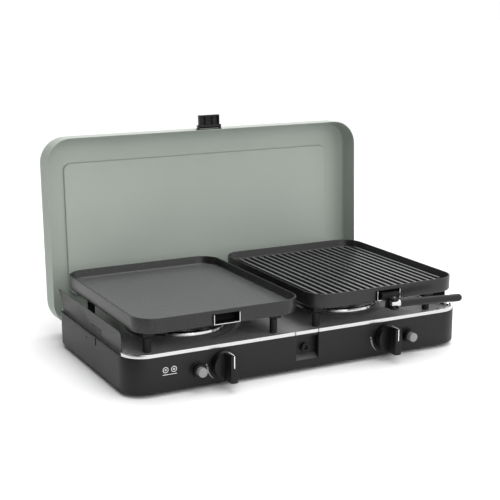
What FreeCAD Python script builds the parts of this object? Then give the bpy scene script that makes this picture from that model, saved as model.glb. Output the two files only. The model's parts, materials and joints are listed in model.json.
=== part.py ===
"""Two-burner camping stove in a flat case, with its lid open and its two cooking plates in place.

Frame: X to the right seen from the front, Y to the back, Z up, in millimetres.
The origin is the middle of the case's footprint, on the table under the rubber feet.
"""
import FreeCAD, Part
import math
import os
import types

import Sketcher

SIDES = (("left", -1), ("right", 1))

# ---------------------------------------------------------------- driving dimensions
DRIVING = {
    # case
    "case_width": 620, "case_depth": 340, "case_corner": 40, "foot_height": 6,
    "case_top": 63.25, "case_sheet": 1.1, "case_bottom_round": 3, "rear_wall_top": 59.5,
    "foot_radius": 10, "foot_inset_x": 32, "foot_inset_y": 32,
    # latch recess in the front wall
    "recess_width": 41.4, "recess_floor": 20, "recess_depth": 12, "recess_ledge": 7,
    "keeper_radius": 7.2, "keeper_height": 38.7, "keeper_length": 6.5,
    # hob tray
    "tray_floor": 60, "tray_sheet": 0.8, "lip_top": 69, "lip_thick": 2, "lip_end": -138,
    "edge_top": 60, "post_x": 284, "post_y": 138, "post_radius": 5,
    # burners
    "burner_x": 151, "burner_y": -5, "burner_radius": 33, "burner_low": 28, "burner_high": 66,
    "cap_radius": 36, "cap_top": 73, "ring_radius": 80, "ring_width": 10, "ring_top": 66,
    "venturi_radius": 9, "venturi_bore": 7.5, "electrode_x": 195, "electrode_y": -8,
    # valves and knobs
    "stem_height": 37.8, "stem_radius": 3, "plug_radius": 6, "running_gap": 0.05,
    "knob_radius": 22.5, "knob_back": 173, "skirt_front": 186, "knob_front": 208,
    "bar_width": 11.5, "rail_height": 20, "rail_radius": 4, "rail_y": -140, "rail_bend": 20,
    "rail_side": 262,
    # gas inlet
    "inlet_y": 110, "inlet_radius": 4.5, "inlet_bore": 2.2, "inlet_tip": 316, "inlet_hole": 11,
    # igniters
    "button_x": 195, "button_height": 34.3, "button_radius": 7.5, "button_tip": 189.6,
    "bezel_radius": 12.5, "bezel_front": 181, "loose_gap": 0.3,
    # lid, described closed
    "lid_depth": 332, "lid_low": 63.5, "lid_high": 108, "lid_sheet": 0.8, "lid_corner": 45,
    "lid_round": 7, "panel_width": 534, "panel_press": 4, "panel_near": 117.5,
    "panel_far": -117.5, "panel_corner": 13, "hinge_y": 149.9, "hinge_height": 39.4,
    "lid_angle": 92.2, "arm_x": 200, "arm_thick": 3, "pin_radius": 2.5,
    # latch, described on the closed lid
    "latch_width": 40, "latch_y": -171.6, "latch_height": 68.5, "latch_barrel": 3.5,
    "latch_reach": 24, "latch_pin": 1.5,
    # wind guards
    "guard_x": 303, "guard_pivot": 63.5, "guard_top": 97, "guard_sheet": 1,
    "guard_front": -128, "guard_back": 140, "guard_ear": 166, "knuckle_radius": 2.6,
    # trivets
    "trivet_x": 111, "trivet_y": 123, "trivet_top": 107.8, "trivet_rod": 4,
    "sleeve_radius": 6.2, "sleeve_top": 84, "block_width": 18, "arm_width": 8, "arm_height": 14,
    "hub_radius": 46, "hub_bore": 40,
    # plates
    "plate_x": 152, "plate_y": -5.4, "plate_width": 283, "plate_depth": 342,
    "plate_corner": 36, "plate_low": 102, "plate_high": 126.4, "plate_wall": 2.6,
    "plate_floor": 112.8, "plate_skirt": 6, "rib_pitch": 13.5, "rib_count": 20,
    "rib_height": 5, "rib_length": 300,
    # handle and its sockets
    "socket_x": 149, "socket_width": 45, "socket_low": 104, "socket_high": 120,
    "socket_front": 180, "socket_depth": 14.4, "socket_sheet": 1.2, "tongue_width": 34,
    "pivot_y": -195.5, "grip_height": 101.5, "grip_radius": 6.8, "ferrule_radius": 6,
    "grip_start": 9.5, "grip_end": 123, "grip_angle": -10, "handle_pin": 2,
}

doc = FreeCAD.newDocument("camping_stove")
sheet = doc.addObject("Spreadsheet::Sheet", "sizes")
for row, (alias, number) in enumerate(DRIVING.items(), start=1):
    sheet.set(f"A{row}", alias)
    sheet.set(f"B{row}", str(number))
    sheet.setAlias(f"B{row}", alias)
doc.recompute()


class Size:
    """A number that remembers the sheet formula that it comes from."""

    def __init__(self, value, formula):
        self.value = value
        self.formula = formula

    def __add__(self, other):
        other = as_size(other)
        return Size(self.value + other.value, f"({self.formula} + {other.formula})")

    def __sub__(self, other):
        other = as_size(other)
        return Size(self.value - other.value, f"({self.formula} - {other.formula})")

    def __mul__(self, other):
        other = as_size(other)
        return Size(self.value * other.value, f"({self.formula} * {other.formula})")

    def __truediv__(self, other):
        other = as_size(other)
        return Size(self.value / other.value, f"({self.formula} / {other.formula})")

    def __radd__(self, other):
        return as_size(other) + self

    def __rsub__(self, other):
        return as_size(other) - self

    def __rmul__(self, other):
        return as_size(other) * self

    def __neg__(self):
        return as_size(0) - self


def as_size(amount):
    """Give a plain number the same form as a size from the sheet."""
    if isinstance(amount, Size):
        return amount
    return Size(float(amount), f"({float(amount):.6f})")


dim = types.SimpleNamespace(**{
    alias: Size(float(number), f"sizes.{alias}") for alias, number in DRIVING.items()})
front = -dim.case_depth / 2
back = dim.case_depth / 2


def bind(thing, name, amount):
    """Tie a property of a document object to a size."""
    thing.setExpression(name, as_size(amount).formula)


# ---------------------------------------------------------------- sketches
def sketch_on(body, name, plane, offset):
    """Start a sketch on one of the body's origin planes, moved along the plane's normal."""
    support = [item for item in body.Origin.OriginFeatures if item.Role == plane][0]
    sketch = body.newObject("Sketcher::SketchObject", name)
    sketch.AttachmentSupport = [(support, "")]
    sketch.MapMode = "FlatFace"
    bind(sketch, "AttachmentOffset.Base.z", offset)
    return sketch


def tie(sketch, edge, end, across, up):
    """Hold one end or centre of a sketch edge at a place measured from the sketch's origin."""
    for kind, amount in (("DistanceX", across), ("DistanceY", up)):
        rule = Sketcher.Constraint(kind, -1, 1, edge, end, as_size(amount).value)
        bind(sketch, f"Constraints[{sketch.addConstraint(rule)}]", amount)


def outline(sketch, points):
    """Draw a closed outline of straight edges through the points."""
    values = [FreeCAD.Vector(as_size(a).value, as_size(b).value, 0) for a, b in points]
    first = sketch.GeometryCount
    count = len(points)
    for place in range(count):
        line = Part.LineSegment(values[place], values[(place + 1) % count])
        sketch.addGeometry(line, False)
    for place in range(count):
        following = first + (place + 1) % count
        sketch.addConstraint(Sketcher.Constraint("Coincident", first + place, 2, following, 1))
        tie(sketch, first + place, 1, *points[place])


def rectangles(sketch, *corners):
    """Draw one rectangle for each set of low and high corners."""
    for low_x, low_y, high_x, high_y in corners:
        outline(sketch, [(low_x, low_y), (high_x, low_y), (high_x, high_y), (low_x, high_y)])


def circles(sketch, *rings):
    """Draw one circle for each centre and radius."""
    for across, up, radius in rings:
        centre = FreeCAD.Vector(as_size(across).value, as_size(up).value, 0)
        normal = FreeCAD.Vector(0, 0, 1)
        edge = sketch.addGeometry(Part.Circle(centre, normal, as_size(radius).value), False)
        rule = Sketcher.Constraint("Radius", edge, as_size(radius).value)
        bind(sketch, f"Constraints[{sketch.addConstraint(rule)}]", radius)
        tie(sketch, edge, 3, across, up)


def rounded_rectangle(sketch, middle_x, middle_y, width, depth, corner):
    """Draw a rectangle with round corners, tangent all the way round."""
    centres_x = (as_size(middle_x) - width / 2 + corner, as_size(middle_x) + width / 2 - corner)
    centres_y = (as_size(middle_y) - depth / 2 + corner, as_size(middle_y) + depth / 2 - corner)
    turns = ((1, 0, -90), (1, 1, 0), (0, 1, 90), (0, 0, 180))
    radius = as_size(corner).value
    first = sketch.GeometryCount
    arcs = []
    for pick_x, pick_y, start in turns:
        centre = FreeCAD.Vector(centres_x[pick_x].value, centres_y[pick_y].value, 0)
        circle = Part.Circle(centre, FreeCAD.Vector(0, 0, 1), radius)
        arc = Part.ArcOfCircle(circle, math.radians(start), math.radians(start + 90))
        arcs.append(arc)
        sketch.addGeometry(arc, False)
    for place in range(4):
        line = Part.LineSegment(arcs[place].EndPoint, arcs[(place + 1) % 4].StartPoint)
        sketch.addGeometry(line, False)
    for place in range(4):
        arc = first + place
        line = first + 4 + place
        following = first + (place + 1) % 4
        sketch.addConstraint(Sketcher.Constraint("Tangent", arc, 2, line, 1))
        sketch.addConstraint(Sketcher.Constraint("Tangent", line, 2, following, 1))
        direction = "Vertical" if place % 2 == 0 else "Horizontal"
        sketch.addConstraint(Sketcher.Constraint(direction, line))
        if place:
            sketch.addConstraint(Sketcher.Constraint("Equal", first, arc))
    rule = Sketcher.Constraint("Radius", first, radius)
    bind(sketch, f"Constraints[{sketch.addConstraint(rule)}]", corner)
    tie(sketch, first, 3, centres_x[1], centres_y[0])
    tie(sketch, first + 2, 3, centres_x[0], centres_y[1])


def frame_outline(sketch, outer, inner):
    """Draw a rounded rectangle with another inside it."""
    rounded_rectangle(sketch, *outer)
    rounded_rectangle(sketch, *inner)


# ---------------------------------------------------------------- part design features
def new_body(name):
    """Start a part design body."""
    return doc.addObject("PartDesign::Body", name)


def pad(body, name, plane, offset, length, draw, *amounts):
    """Raise a sketch along its plane's normal."""
    sketch = sketch_on(body, name + "_sketch", plane, offset)
    draw(sketch, *amounts)
    feature = body.newObject("PartDesign::Pad", name)
    feature.Profile = sketch
    bind(feature, "Length", length)
    return feature


def pocket(body, name, plane, offset, length, draw, *amounts, along_normal=False):
    """Cut a sketch into the body, and stop if the cut removes nothing."""
    doc.recompute()
    before = body.Shape.Volume
    sketch = sketch_on(body, name + "_sketch", plane, offset)
    draw(sketch, *amounts)
    feature = body.newObject("PartDesign::Pocket", name)
    feature.Profile = sketch
    feature.Reversed = along_normal
    bind(feature, "Length", length)
    doc.recompute()
    if body.Shape.Volume >= before - 0.01:
        raise RuntimeError(f"pocket {name} in {body.Name} removes nothing")
    return feature


def round_level(body, name, feature, height, radius):
    """Round every edge of a feature that lies flat at one height."""
    doc.recompute()
    level = as_size(height).value
    names = []
    for number, edge in enumerate(feature.Shape.Edges, start=1):
        box = edge.BoundBox
        if abs(box.ZMin - level) < 0.01 and abs(box.ZMax - level) < 0.01:
            names.append(f"Edge{number}")
    fillet = body.newObject("PartDesign::Fillet", name)
    fillet.Base = (feature, names)
    bind(fillet, "Radius", radius)
    doc.recompute()
    return fillet


def revolved(name, points):
    """Turn an outline of radius and height about the vertical axis."""
    body = new_body(name)
    sketch = sketch_on(body, name + "_profile", "XZ_Plane", 0)
    outline(sketch, points)
    feature = body.newObject("PartDesign::Revolution", name + "_turned")
    feature.Profile = sketch
    feature.ReferenceAxis = (sketch, ["V_Axis"])
    feature.Angle = 360
    return body


# ---------------------------------------------------------------- solids and booleans
AXIS_TURN = {
    "X": FreeCAD.Rotation(FreeCAD.Vector(0, 1, 0), 90),
    "Y": FreeCAD.Rotation(FreeCAD.Vector(1, 0, 0), -90),
    "Z": FreeCAD.Rotation(),
}


def place(item, spot, turn=None):
    """Put an object at a spot that follows the sheet, with a fixed turn."""
    item.Placement = FreeCAD.Placement(FreeCAD.Vector(0, 0, 0), turn or FreeCAD.Rotation())
    for letter, amount in zip("xyz", spot):
        bind(item, f"Placement.Base.{letter}", amount)
    return item


def block(name, low, high):
    """Make a box between two corners."""
    item = doc.addObject("Part::Box", name)
    for side, low_end, high_end in zip(("Length", "Width", "Height"), low, high):
        bind(item, side, as_size(high_end) - low_end)
    return place(item, low)


def rod(name, axis, spot, radius, length):
    """Make a round rod that starts at a spot and runs along an axis."""
    item = doc.addObject("Part::Cylinder", name)
    bind(item, "Radius", radius)
    bind(item, "Height", length)
    return place(item, spot, AXIS_TURN[axis])


def bend(name, centre, bend_radius, radius, turn):
    """Make a quarter bend of a round bar about a centre."""
    item = doc.addObject("Part::Torus", name)
    bind(item, "Radius1", bend_radius)
    bind(item, "Radius2", radius)
    item.Angle3 = 90
    return place(item, centre, turn)


def join(name, *items):
    """Fuse solids that touch or overlap into one."""
    fused = doc.addObject("Part::MultiFuse", name)
    fused.Shapes = list(items)
    return fused


def cut(name, base, *tools):
    """Cut tools out of a base, and stop if the cut removes nothing."""
    tool = tools[0] if len(tools) == 1 else join(name + "_tools", *tools)
    result = doc.addObject("Part::Cut", name)
    result.Base = base
    result.Tool = tool
    doc.recompute()
    if result.Shape.Volume >= base.Shape.Volume - 0.01:
        raise RuntimeError(f"cut {name} removes nothing")
    return result


def group(name, *items):
    """Keep equal pieces together as separate solids of one sub-part."""
    together = doc.addObject("Part::Compound", name)
    together.Links = list(items)
    return together


sub_parts = {}


def keep(label, item):
    """Name an object as a finished sub-part."""
    item.Label = label
    sub_parts[label] = item
    return item


def keep_on_lid(label, item):
    """Name a sub-part that is described on the closed lid, and swing it open with the lid."""
    turn = FreeCAD.Rotation(FreeCAD.Vector(1, 0, 0), -dim.lid_angle.value)
    hinge = FreeCAD.Vector(0, dim.hinge_y.value, dim.hinge_height.value)
    item.Placement = FreeCAD.Placement(FreeCAD.Vector(0, 0, 0), turn, hinge)
    return keep(label, item)


# ---------------------------------------------------------------- case
def make_housing():
    """The black drawn case: a pan with holes for knobs, buttons, latch, gas inlet and arms."""
    body = new_body("housing_body")
    inner_depth = dim.case_depth - 2 * dim.case_sheet
    pan = pad(body, "case_pan", "XY_Plane", dim.foot_height, dim.case_top - dim.foot_height,
              rounded_rectangle, 0, 0, dim.case_width, dim.case_depth, dim.case_corner)
    round_level(body, "case_bottom_edge", pan, dim.foot_height, dim.case_bottom_round)
    pocket(body, "case_inside", "XY_Plane", dim.case_top,
           dim.case_top - dim.foot_height - dim.case_sheet, rounded_rectangle, 0, 0,
           dim.case_width - 2 * dim.case_sheet, inner_depth, dim.case_corner - dim.case_sheet)
    half = dim.recess_width / 2
    recess_back = front + dim.recess_depth
    recess_top = dim.tray_floor - dim.tray_sheet - 0.2
    pad(body, "recess_box", "XY_Plane", dim.recess_floor - dim.case_sheet,
        recess_top - dim.recess_floor + dim.case_sheet, rectangles,
        (-half - dim.case_sheet, front, half + dim.case_sheet, recess_back + dim.case_sheet))
    pocket(body, "latch_recess", "XY_Plane", recess_top, recess_top - dim.recess_floor,
           rectangles, (-half, front - 1, half, recess_back))
    pocket(body, "recess_mouth", "XY_Plane", dim.case_top, dim.case_top - recess_top + 1,
           rectangles, (-half, front - 1, half, front + dim.case_sheet + 0.1))
    ledge = sketch_on(body, "ledge_sketch", "YZ_Plane", -half)
    outline(ledge, [(front + 0.5, dim.recess_floor), (recess_back, dim.recess_floor),
                    (recess_back, dim.recess_floor + dim.recess_ledge)])
    ledge_pad = body.newObject("PartDesign::Pad", "recess_ledge")
    ledge_pad.Profile = ledge
    bind(ledge_pad, "Length", dim.recess_width)
    pocket(body, "front_holes", "XZ_Plane", -front, 2 * dim.case_sheet, circles,
           *[(sign * dim.burner_x, dim.stem_height, dim.stem_radius + 2) for _, sign in SIDES],
           *[(sign * dim.button_x, dim.button_height, 9.8) for _, sign in SIDES])
    wall_top = dim.case_top - dim.rear_wall_top
    pocket(body, "rear_wall_step", "XY_Plane", dim.case_top, wall_top, rectangles,
           (-265, back - 3, 265, back + 1))
    pocket(body, "arm_slots", "XY_Plane", dim.case_top, dim.case_top - 30, rectangles,
           *[(sign * dim.arm_x - 4, back - 3, sign * dim.arm_x + 4, back + 1) for _, sign in SIDES])
    pocket(body, "inlet_hole", "YZ_Plane", dim.case_width / 2, 3, circles,
           (dim.inlet_y, dim.rail_height, dim.inlet_hole))
    pocket(body, "side_screw_hole", "YZ_Plane", -dim.case_width / 2, 3, circles, (12, 52.5, 2),
           along_normal=True)
    pocket(body, "side_notch", "YZ_Plane", -dim.case_width / 2, 3, rectangles,
           (-33.5, 50, -30.5, dim.case_top + 1), along_normal=True)
    keep("housing", body)


def make_feet():
    """Four rubber feet under the case's corners, with the edge that meets the table rounded."""
    feet = []
    foot_x = dim.case_width / 2 - dim.foot_inset_x
    foot_y = dim.case_depth / 2 - dim.foot_inset_y
    for across in (-1, 1):
        for along in (-1, 1):
            foot = revolved(f"foot_{len(feet)}", [
                (0, 0), (dim.foot_radius - 1, 0), (dim.foot_radius, 1),
                (dim.foot_radius, dim.foot_height), (0, dim.foot_height)])
            feet.append(place(foot, (across * foot_x, along * foot_y, 0)))
    keep("rubber_feet", group("feet_group", *feet))


def make_keeper():
    """The catch that the latch snaps over, a hollow stud on the recess's back wall."""
    start = (0, front + dim.recess_depth - dim.keeper_length, dim.keeper_height)
    stud = rod("keeper_stud", "Y", start, dim.keeper_radius, dim.keeper_length)
    hole = rod("keeper_hole", "Y", start, dim.keeper_radius / 2, dim.keeper_length / 2)
    keep("latch_keeper", cut("keeper_cut", stud, hole))


# ---------------------------------------------------------------- hob
def make_tray():
    """The stainless hob tray: floor, bright front lip, burner holes and rear notches."""
    body = new_body("tray_body")
    gap = dim.case_sheet + 0.2
    width = dim.case_width - 2 * gap
    depth = dim.case_depth - 2 * gap
    corner = dim.case_corner - gap
    low = dim.tray_floor - dim.tray_sheet
    pad(body, "tray_sheet_pad", "XY_Plane", low, dim.tray_sheet, rounded_rectangle,
        0, 0, width, depth, corner)
    thick = dim.lip_thick
    inner = (0, 0, width - 2 * thick, depth - 2 * thick, corner - thick)
    pad(body, "tray_lip", "XY_Plane", dim.tray_floor, dim.lip_top - dim.tray_floor,
        frame_outline, (0, 0, width, depth, corner), inner)
    pocket(body, "lip_cut", "XY_Plane", dim.lip_top, dim.lip_top - dim.edge_top, rectangles,
           (-dim.case_width / 2, dim.lip_end, dim.case_width / 2, back))
    holes = []
    for _, sign in SIDES:
        holes.append((sign * dim.burner_x, dim.burner_y, dim.burner_radius + 1))
        holes.append((sign * dim.electrode_x, dim.electrode_y, 3.2))
        for along in (-1, 1):
            holes.append((sign * dim.post_x, along * dim.post_y, 2.2))
    pocket(body, "tray_holes", "XY_Plane", dim.tray_floor, 2 * dim.tray_sheet, circles, *holes)
    pocket(body, "arm_notches", "XY_Plane", dim.lip_top, dim.lip_top - low, rectangles,
           *[(sign * dim.arm_x - 5, back - 30, sign * dim.arm_x + 5, back) for _, sign in SIDES])
    keep("hob_tray", body)


def make_tray_fixings():
    """Posts that carry the tray from the case's floor, and the screws that hold it down."""
    posts = []
    screws = []
    floor = dim.foot_height + dim.case_sheet
    tray_low = dim.tray_floor - dim.tray_sheet
    for _, sign in SIDES:
        for along in (-1, 1):
            name = f"{len(posts)}"
            spot = (sign * dim.post_x, along * dim.post_y)
            post = rod("post_" + name, "Z", (*spot, floor), dim.post_radius, tray_low - floor)
            bore = rod("post_bore_" + name, "Z", (*spot, tray_low - 12), 2, 12)
            posts.append(cut("post_cut_" + name, post, bore))
            shank = rod("screw_shank_" + name, "Z", (*spot, tray_low - 10), 2, 10 + dim.tray_sheet)
            head = rod("screw_head_" + name, "Z", (*spot, dim.tray_floor), 4, 1.8)
            cross = block("screw_slot_" + name, (spot[0] - 3, spot[1] - 0.5, dim.tray_floor + 0.9),
                          (spot[0] + 3, spot[1] + 0.5, dim.tray_floor + 2))
            screws.append(cut("screw_" + name, join("screw_body_" + name, shank, head), cross))
    keep("tray_posts", group("post_group", *posts))
    keep("tray_screws", group("screw_group", *screws))


def make_burner(side, sign):
    """A cast burner: mixing chamber and flared head, with its cap, drip ring and venturi."""
    spot = (sign * dim.burner_x, dim.burner_y, 0)
    radius = dim.burner_radius
    low = dim.burner_low
    high = dim.burner_high
    head = revolved(f"burner_head_{side}", [
        (0, low), (20, low), (20, low + 20), (radius, high - 10), (radius, high),
        (radius - 2, high), (radius - 2, high - 9), (18, low + 21), (18, low + 2), (0, low + 2)])
    keep(f"burner_{side}", place(head, spot))
    cap = revolved(f"cap_{side}", [
        (0, high), (dim.cap_radius - 1, high), (dim.cap_radius, high + 1),
        (dim.cap_radius, high + 3), (dim.cap_radius - 5, dim.cap_top - 1),
        (dim.cap_radius - 12, dim.cap_top), (0, dim.cap_top)])
    keep(f"burner_cap_{side}", place(cap, spot))
    outer = dim.ring_radius
    inner = dim.ring_radius - dim.ring_width
    ring = revolved(f"ring_{side}", [
        (inner, dim.tray_floor), (outer, dim.tray_floor), (outer - 1, dim.ring_top - 2),
        (outer - 3, dim.ring_top), (outer - 5, dim.ring_top - 1), (inner, dim.tray_floor + 1.5)])
    keep(f"drip_ring_{side}", place(ring, spot))
    mouth = (sign * dim.burner_x, -126, dim.stem_height)
    length = dim.burner_y - 20 + 126
    tube = rod(f"venturi_tube_{side}", "Y", mouth, dim.venturi_radius, length)
    bore = rod(f"venturi_bore_{side}", "Y", mouth, dim.venturi_bore, length)
    keep(f"venturi_{side}", cut(f"venturi_cut_{side}", tube, bore))


# ---------------------------------------------------------------- gas parts
def make_valve(side, sign):
    """A gas valve: brass body, turning plug, and the stem that the knob turns and pushes."""
    x = sign * dim.burner_x
    z = dim.stem_height
    shell = block(f"valve_block_{side}", (x - 10, -160, dim.rail_height + dim.rail_radius),
                  (x + 10, -132, z + 9))
    seat = rod(f"valve_seat_{side}", "Y", (x, -160, z), dim.plug_radius + dim.running_gap, 20)
    outlet = rod(f"valve_outlet_{side}", "Y", (x, -140, z), 1.5, 8)
    keep(f"valve_body_{side}", cut(f"valve_cut_{side}", shell, seat, outlet))
    plug = rod(f"plug_rod_{side}", "Y", (x, -163, z), dim.plug_radius, 22)
    socket = rod(f"plug_socket_{side}", "Y", (x, -163, z), dim.stem_radius + dim.running_gap, 17)
    keep(f"valve_plug_{side}", cut(f"plug_cut_{side}", plug, socket))
    stem = rod(f"stem_rod_{side}", "Y", (x, -184, z), dim.stem_radius, 32)
    keep(f"valve_stem_{side}", stem)


def make_gas_line():
    """The gas rail under both valves, the jets behind them, and the inlet through the side."""
    jets = []
    for side, sign in SIDES:
        jets.append(rod(f"jet_{side}", "Y", (sign * dim.burner_x, -132, dim.stem_height), 2.5, 5))
    keep("injector_jets", group("jet_group", *jets))
    height = dim.rail_height
    turn = dim.rail_bend
    start = -dim.burner_x - 18
    along = rod("rail_along", "X", (start, dim.rail_y, height), dim.rail_radius,
                dim.rail_side - turn - start)
    first = bend("rail_first_bend", (dim.rail_side - turn, dim.rail_y + turn, height), turn,
                 dim.rail_radius, FreeCAD.Rotation(FreeCAD.Vector(0, 0, 1), -90))
    side_run = rod("rail_side_run", "Y", (dim.rail_side, dim.rail_y + turn, height),
                   dim.rail_radius, dim.inlet_y - dim.rail_y - 2 * turn)
    second = bend("rail_second_bend", (dim.rail_side + turn, dim.inlet_y - turn, height), turn,
                  dim.rail_radius, FreeCAD.Rotation(FreeCAD.Vector(0, 0, 1), 90))
    keep("gas_rail", join("rail_joined", along, first, side_run, second))
    inlet_start = dim.rail_side + turn
    nut = rod("inlet_nut", "X", (inlet_start, dim.inlet_y, height), 8, 18)
    nose = rod("inlet_nose", "X", (inlet_start + 18, dim.inlet_y, height), dim.inlet_radius,
               dim.inlet_tip - inlet_start - 18)
    bore = rod("inlet_bore", "X", (inlet_start, dim.inlet_y, height), dim.inlet_bore,
               dim.inlet_tip - inlet_start)
    keep("gas_inlet", cut("inlet_cut", join("inlet_joined", nut, nose), bore))


def make_igniter(side, sign):
    """A piezo igniter with its bezel in the panel, its push button, and its electrode."""
    x = sign * dim.button_x
    z = dim.button_height
    flange = rod(f"bezel_flange_{side}", "Y", (x, front - 2, z), dim.bezel_radius, 2)
    barrel = rod(f"bezel_barrel_{side}", "Y", (x, -dim.bezel_front, z), 11,
                 dim.bezel_front + front - 2)
    thread = rod(f"bezel_thread_{side}", "Y", (x, front, z), 9.8, 12)
    bore = rod(f"bezel_bore_{side}", "Y", (x, -dim.bezel_front, z),
               dim.button_radius + dim.loose_gap, dim.bezel_front - 163)
    neck = rod(f"bezel_neck_{side}", "Y", (x, -163, z), 5.3, 5)
    keep(f"button_bezel_{side}", cut(
        f"bezel_cut_{side}", join(f"bezel_joined_{side}", flange, barrel, thread), bore, neck))
    case = rod(f"igniter_case_{side}", "Y", (x, front + 12, z), 9, 28)
    well = rod(f"igniter_well_{side}", "Y", (x, front + 12, z), 5.3, 18)
    keep(f"igniter_{side}", cut(f"igniter_cut_{side}", case, well))
    cap = rod(f"button_cap_{side}", "Y", (x, -dim.button_tip, z), dim.button_radius,
              dim.button_tip - 172)
    stem = rod(f"button_stem_{side}", "Y", (x, -172, z), 5, 22)
    keep(f"igniter_button_{side}", join(f"button_joined_{side}", cap, stem))
    tip_x = sign * dim.electrode_x
    insulator = rod(f"insulator_{side}", "Z", (tip_x, dim.electrode_y, 48), 3, 16)
    wire = rod(f"electrode_wire_{side}", "Z", (tip_x, dim.electrode_y, 64), 1, 7)
    tip = block(f"electrode_tip_{side}", (tip_x - 0.8 - 2 * (1 + sign), -8.8, 69.4),
                (tip_x + 0.8 + 2 * (1 - sign), -7.2, 71))
    keep(f"electrode_{side}", join(f"electrode_joined_{side}", insulator, wire, tip))
    lead_start = front + 40
    lead_turn = dim.electrode_y - 10
    run = rod(f"lead_run_{side}", "Y", (x, lead_start, z), 1.3, lead_turn - lead_start)
    up_turn = FreeCAD.Rotation(FreeCAD.Vector(1, 0, 0), -90) * FreeCAD.Rotation(
        FreeCAD.Vector(1, 1, 1), 120)
    corner = bend(f"lead_bend_{side}", (x, lead_turn, z + 10), 10, 1.3, up_turn)
    rise = rod(f"lead_rise_{side}", "Z", (x, dim.electrode_y, z + 10), 1.3, 38 - z)
    return join(f"lead_{side}", run, corner, rise)


def make_knob(side, sign):
    """A black knob: hollow skirt, hub round the stem, and a tall grip bar across the face."""
    x = sign * dim.burner_x
    z = dim.stem_height
    radius = dim.knob_radius
    depth = dim.skirt_front - dim.knob_back
    skirt = rod(f"skirt_{side}", "Y", (x, -dim.skirt_front, z), radius, depth)
    hollow = rod(f"skirt_hollow_{side}", "Y", (x, 3 - dim.skirt_front, z), radius - 3, depth)
    shell = cut(f"skirt_shell_{side}", skirt, hollow)
    hub = rod(f"hub_{side}", "Y", (x, 1 - dim.skirt_front, z), 7, depth - 1)
    drum = rod(f"bar_round_{side}", "Y", (x, -dim.knob_front, z), radius,
               dim.knob_front - dim.skirt_front)
    half = dim.bar_width / 2
    slab = block(f"bar_slab_{side}", (x - half, -dim.knob_front, z - radius),
                 (x + half, -dim.skirt_front, z + radius))
    bar = doc.addObject("Part::Common", f"bar_{side}")
    bar.Base = slab
    bar.Tool = drum
    bore = rod(f"hub_bore_{side}", "Y", (x, -184, z), dim.stem_radius, 184 - dim.knob_back)
    keep(f"knob_{side}", cut(f"knob_cut_{side}", join(f"knob_joined_{side}", shell, hub, bar),
                             bore))


# ---------------------------------------------------------------- lid
def make_lid():
    """The drawn lid with its panel pressed inwards, described closed and then swung open."""
    body = new_body("lid_body")
    width = dim.case_width
    shell = pad(body, "lid_pad", "XY_Plane", dim.lid_low, dim.lid_high - dim.lid_low,
                rounded_rectangle, 0, 0, width, dim.lid_depth, dim.lid_corner)
    round_level(body, "lid_edge", shell, dim.lid_high, dim.lid_round)
    panel_depth = dim.panel_near - dim.panel_far
    middle = (dim.panel_near + dim.panel_far) / 2
    panel = (0, middle, dim.panel_width, panel_depth, dim.panel_corner)
    wall = dim.lid_sheet
    inner = (0, 0, width - 2 * wall, dim.lid_depth - 2 * wall, dim.lid_corner - wall)
    ceiling = dim.lid_high - wall
    plateau = ceiling - dim.panel_press
    pocket(body, "lid_inside", "XY_Plane", dim.lid_low, plateau - dim.lid_low - 3,
           rounded_rectangle, *inner, along_normal=True)
    inset = dim.lid_round - 2 * wall
    soft = (0, 0, width - 2 * inset, dim.lid_depth - 2 * inset, dim.lid_corner - inset)
    pocket(body, "lid_round_inside", "XY_Plane", plateau - 3, 3, rounded_rectangle, *soft,
           along_normal=True)
    pocket(body, "lid_ceiling", "XY_Plane", plateau, dim.panel_press, frame_outline, soft, panel,
           along_normal=True)
    sunk = (0, middle, dim.panel_width - 2 * wall, panel_depth - 2 * wall,
            dim.panel_corner - wall)
    pocket(body, "panel_press", "XY_Plane", dim.lid_high, dim.panel_press, rounded_rectangle,
           *sunk)
    keep_on_lid("lid_shell", body)


def make_lid_arms():
    """Two goose-neck arms that join the lid's rear wall to the hinge pins inside the case."""
    arms = []
    rear = dim.lid_depth / 2 - dim.lid_sheet
    y = dim.hinge_y
    z = dim.hinge_height
    half = dim.arm_thick / 2
    for side, sign in SIDES:
        x = sign * dim.arm_x
        eye = rod(f"arm_eye_{side}", "X", (x - half, y, z), 7, dim.arm_thick)
        neck = block(f"arm_neck_{side}", (x - half, y - 6, z), (x + half, y + 7, 70))
        blade = block(f"arm_blade_{side}", (x - half, y - 6, 66), (x + half, rear, 98))
        flange = block(f"arm_flange_{side}", (x - half, rear - 2, 70), (x + 15, rear, 98))
        bore = rod(f"arm_bore_{side}", "X", (x - half, y, z), dim.pin_radius + dim.running_gap,
                   dim.arm_thick)
        arms.append(cut(f"arm_{side}", join(f"arm_joined_{side}", eye, neck, blade, flange), bore))
    keep_on_lid("lid_arms", group("arm_group", *arms))


def make_hinge_base():
    """The two hinge brackets on the case's floor, each with two ears and a pin."""
    brackets = []
    pins = []
    floor = dim.foot_height + dim.case_sheet
    y = dim.hinge_y
    for side, sign in SIDES:
        x = sign * dim.arm_x
        foot = block(f"bracket_foot_{side}", (x - 12, y - 10, floor), (x + 12, y + 10, floor + 2))
        ears = []
        for name, near, far in (("inner", -6.5, -4), ("outer", 4, 6.5)):
            ears.append(block(f"bracket_{name}_{side}", (x + near, y - 7, floor),
                              (x + far, y + 7, dim.hinge_height + 7)))
        bore = rod(f"bracket_bore_{side}", "X", (x - 8, y, dim.hinge_height), dim.pin_radius, 16)
        joined = join(f"bracket_joined_{side}", foot, *ears)
        brackets.append(cut(f"bracket_{side}", joined, bore))
        pins.append(rod(f"hinge_pin_{side}", "X", (x - 7.5, y, dim.hinge_height),
                        dim.pin_radius, 15))
    keep("hinge_brackets", group("bracket_group", *brackets))
    keep("hinge_pins", group("hinge_pin_group", *pins))


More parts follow.
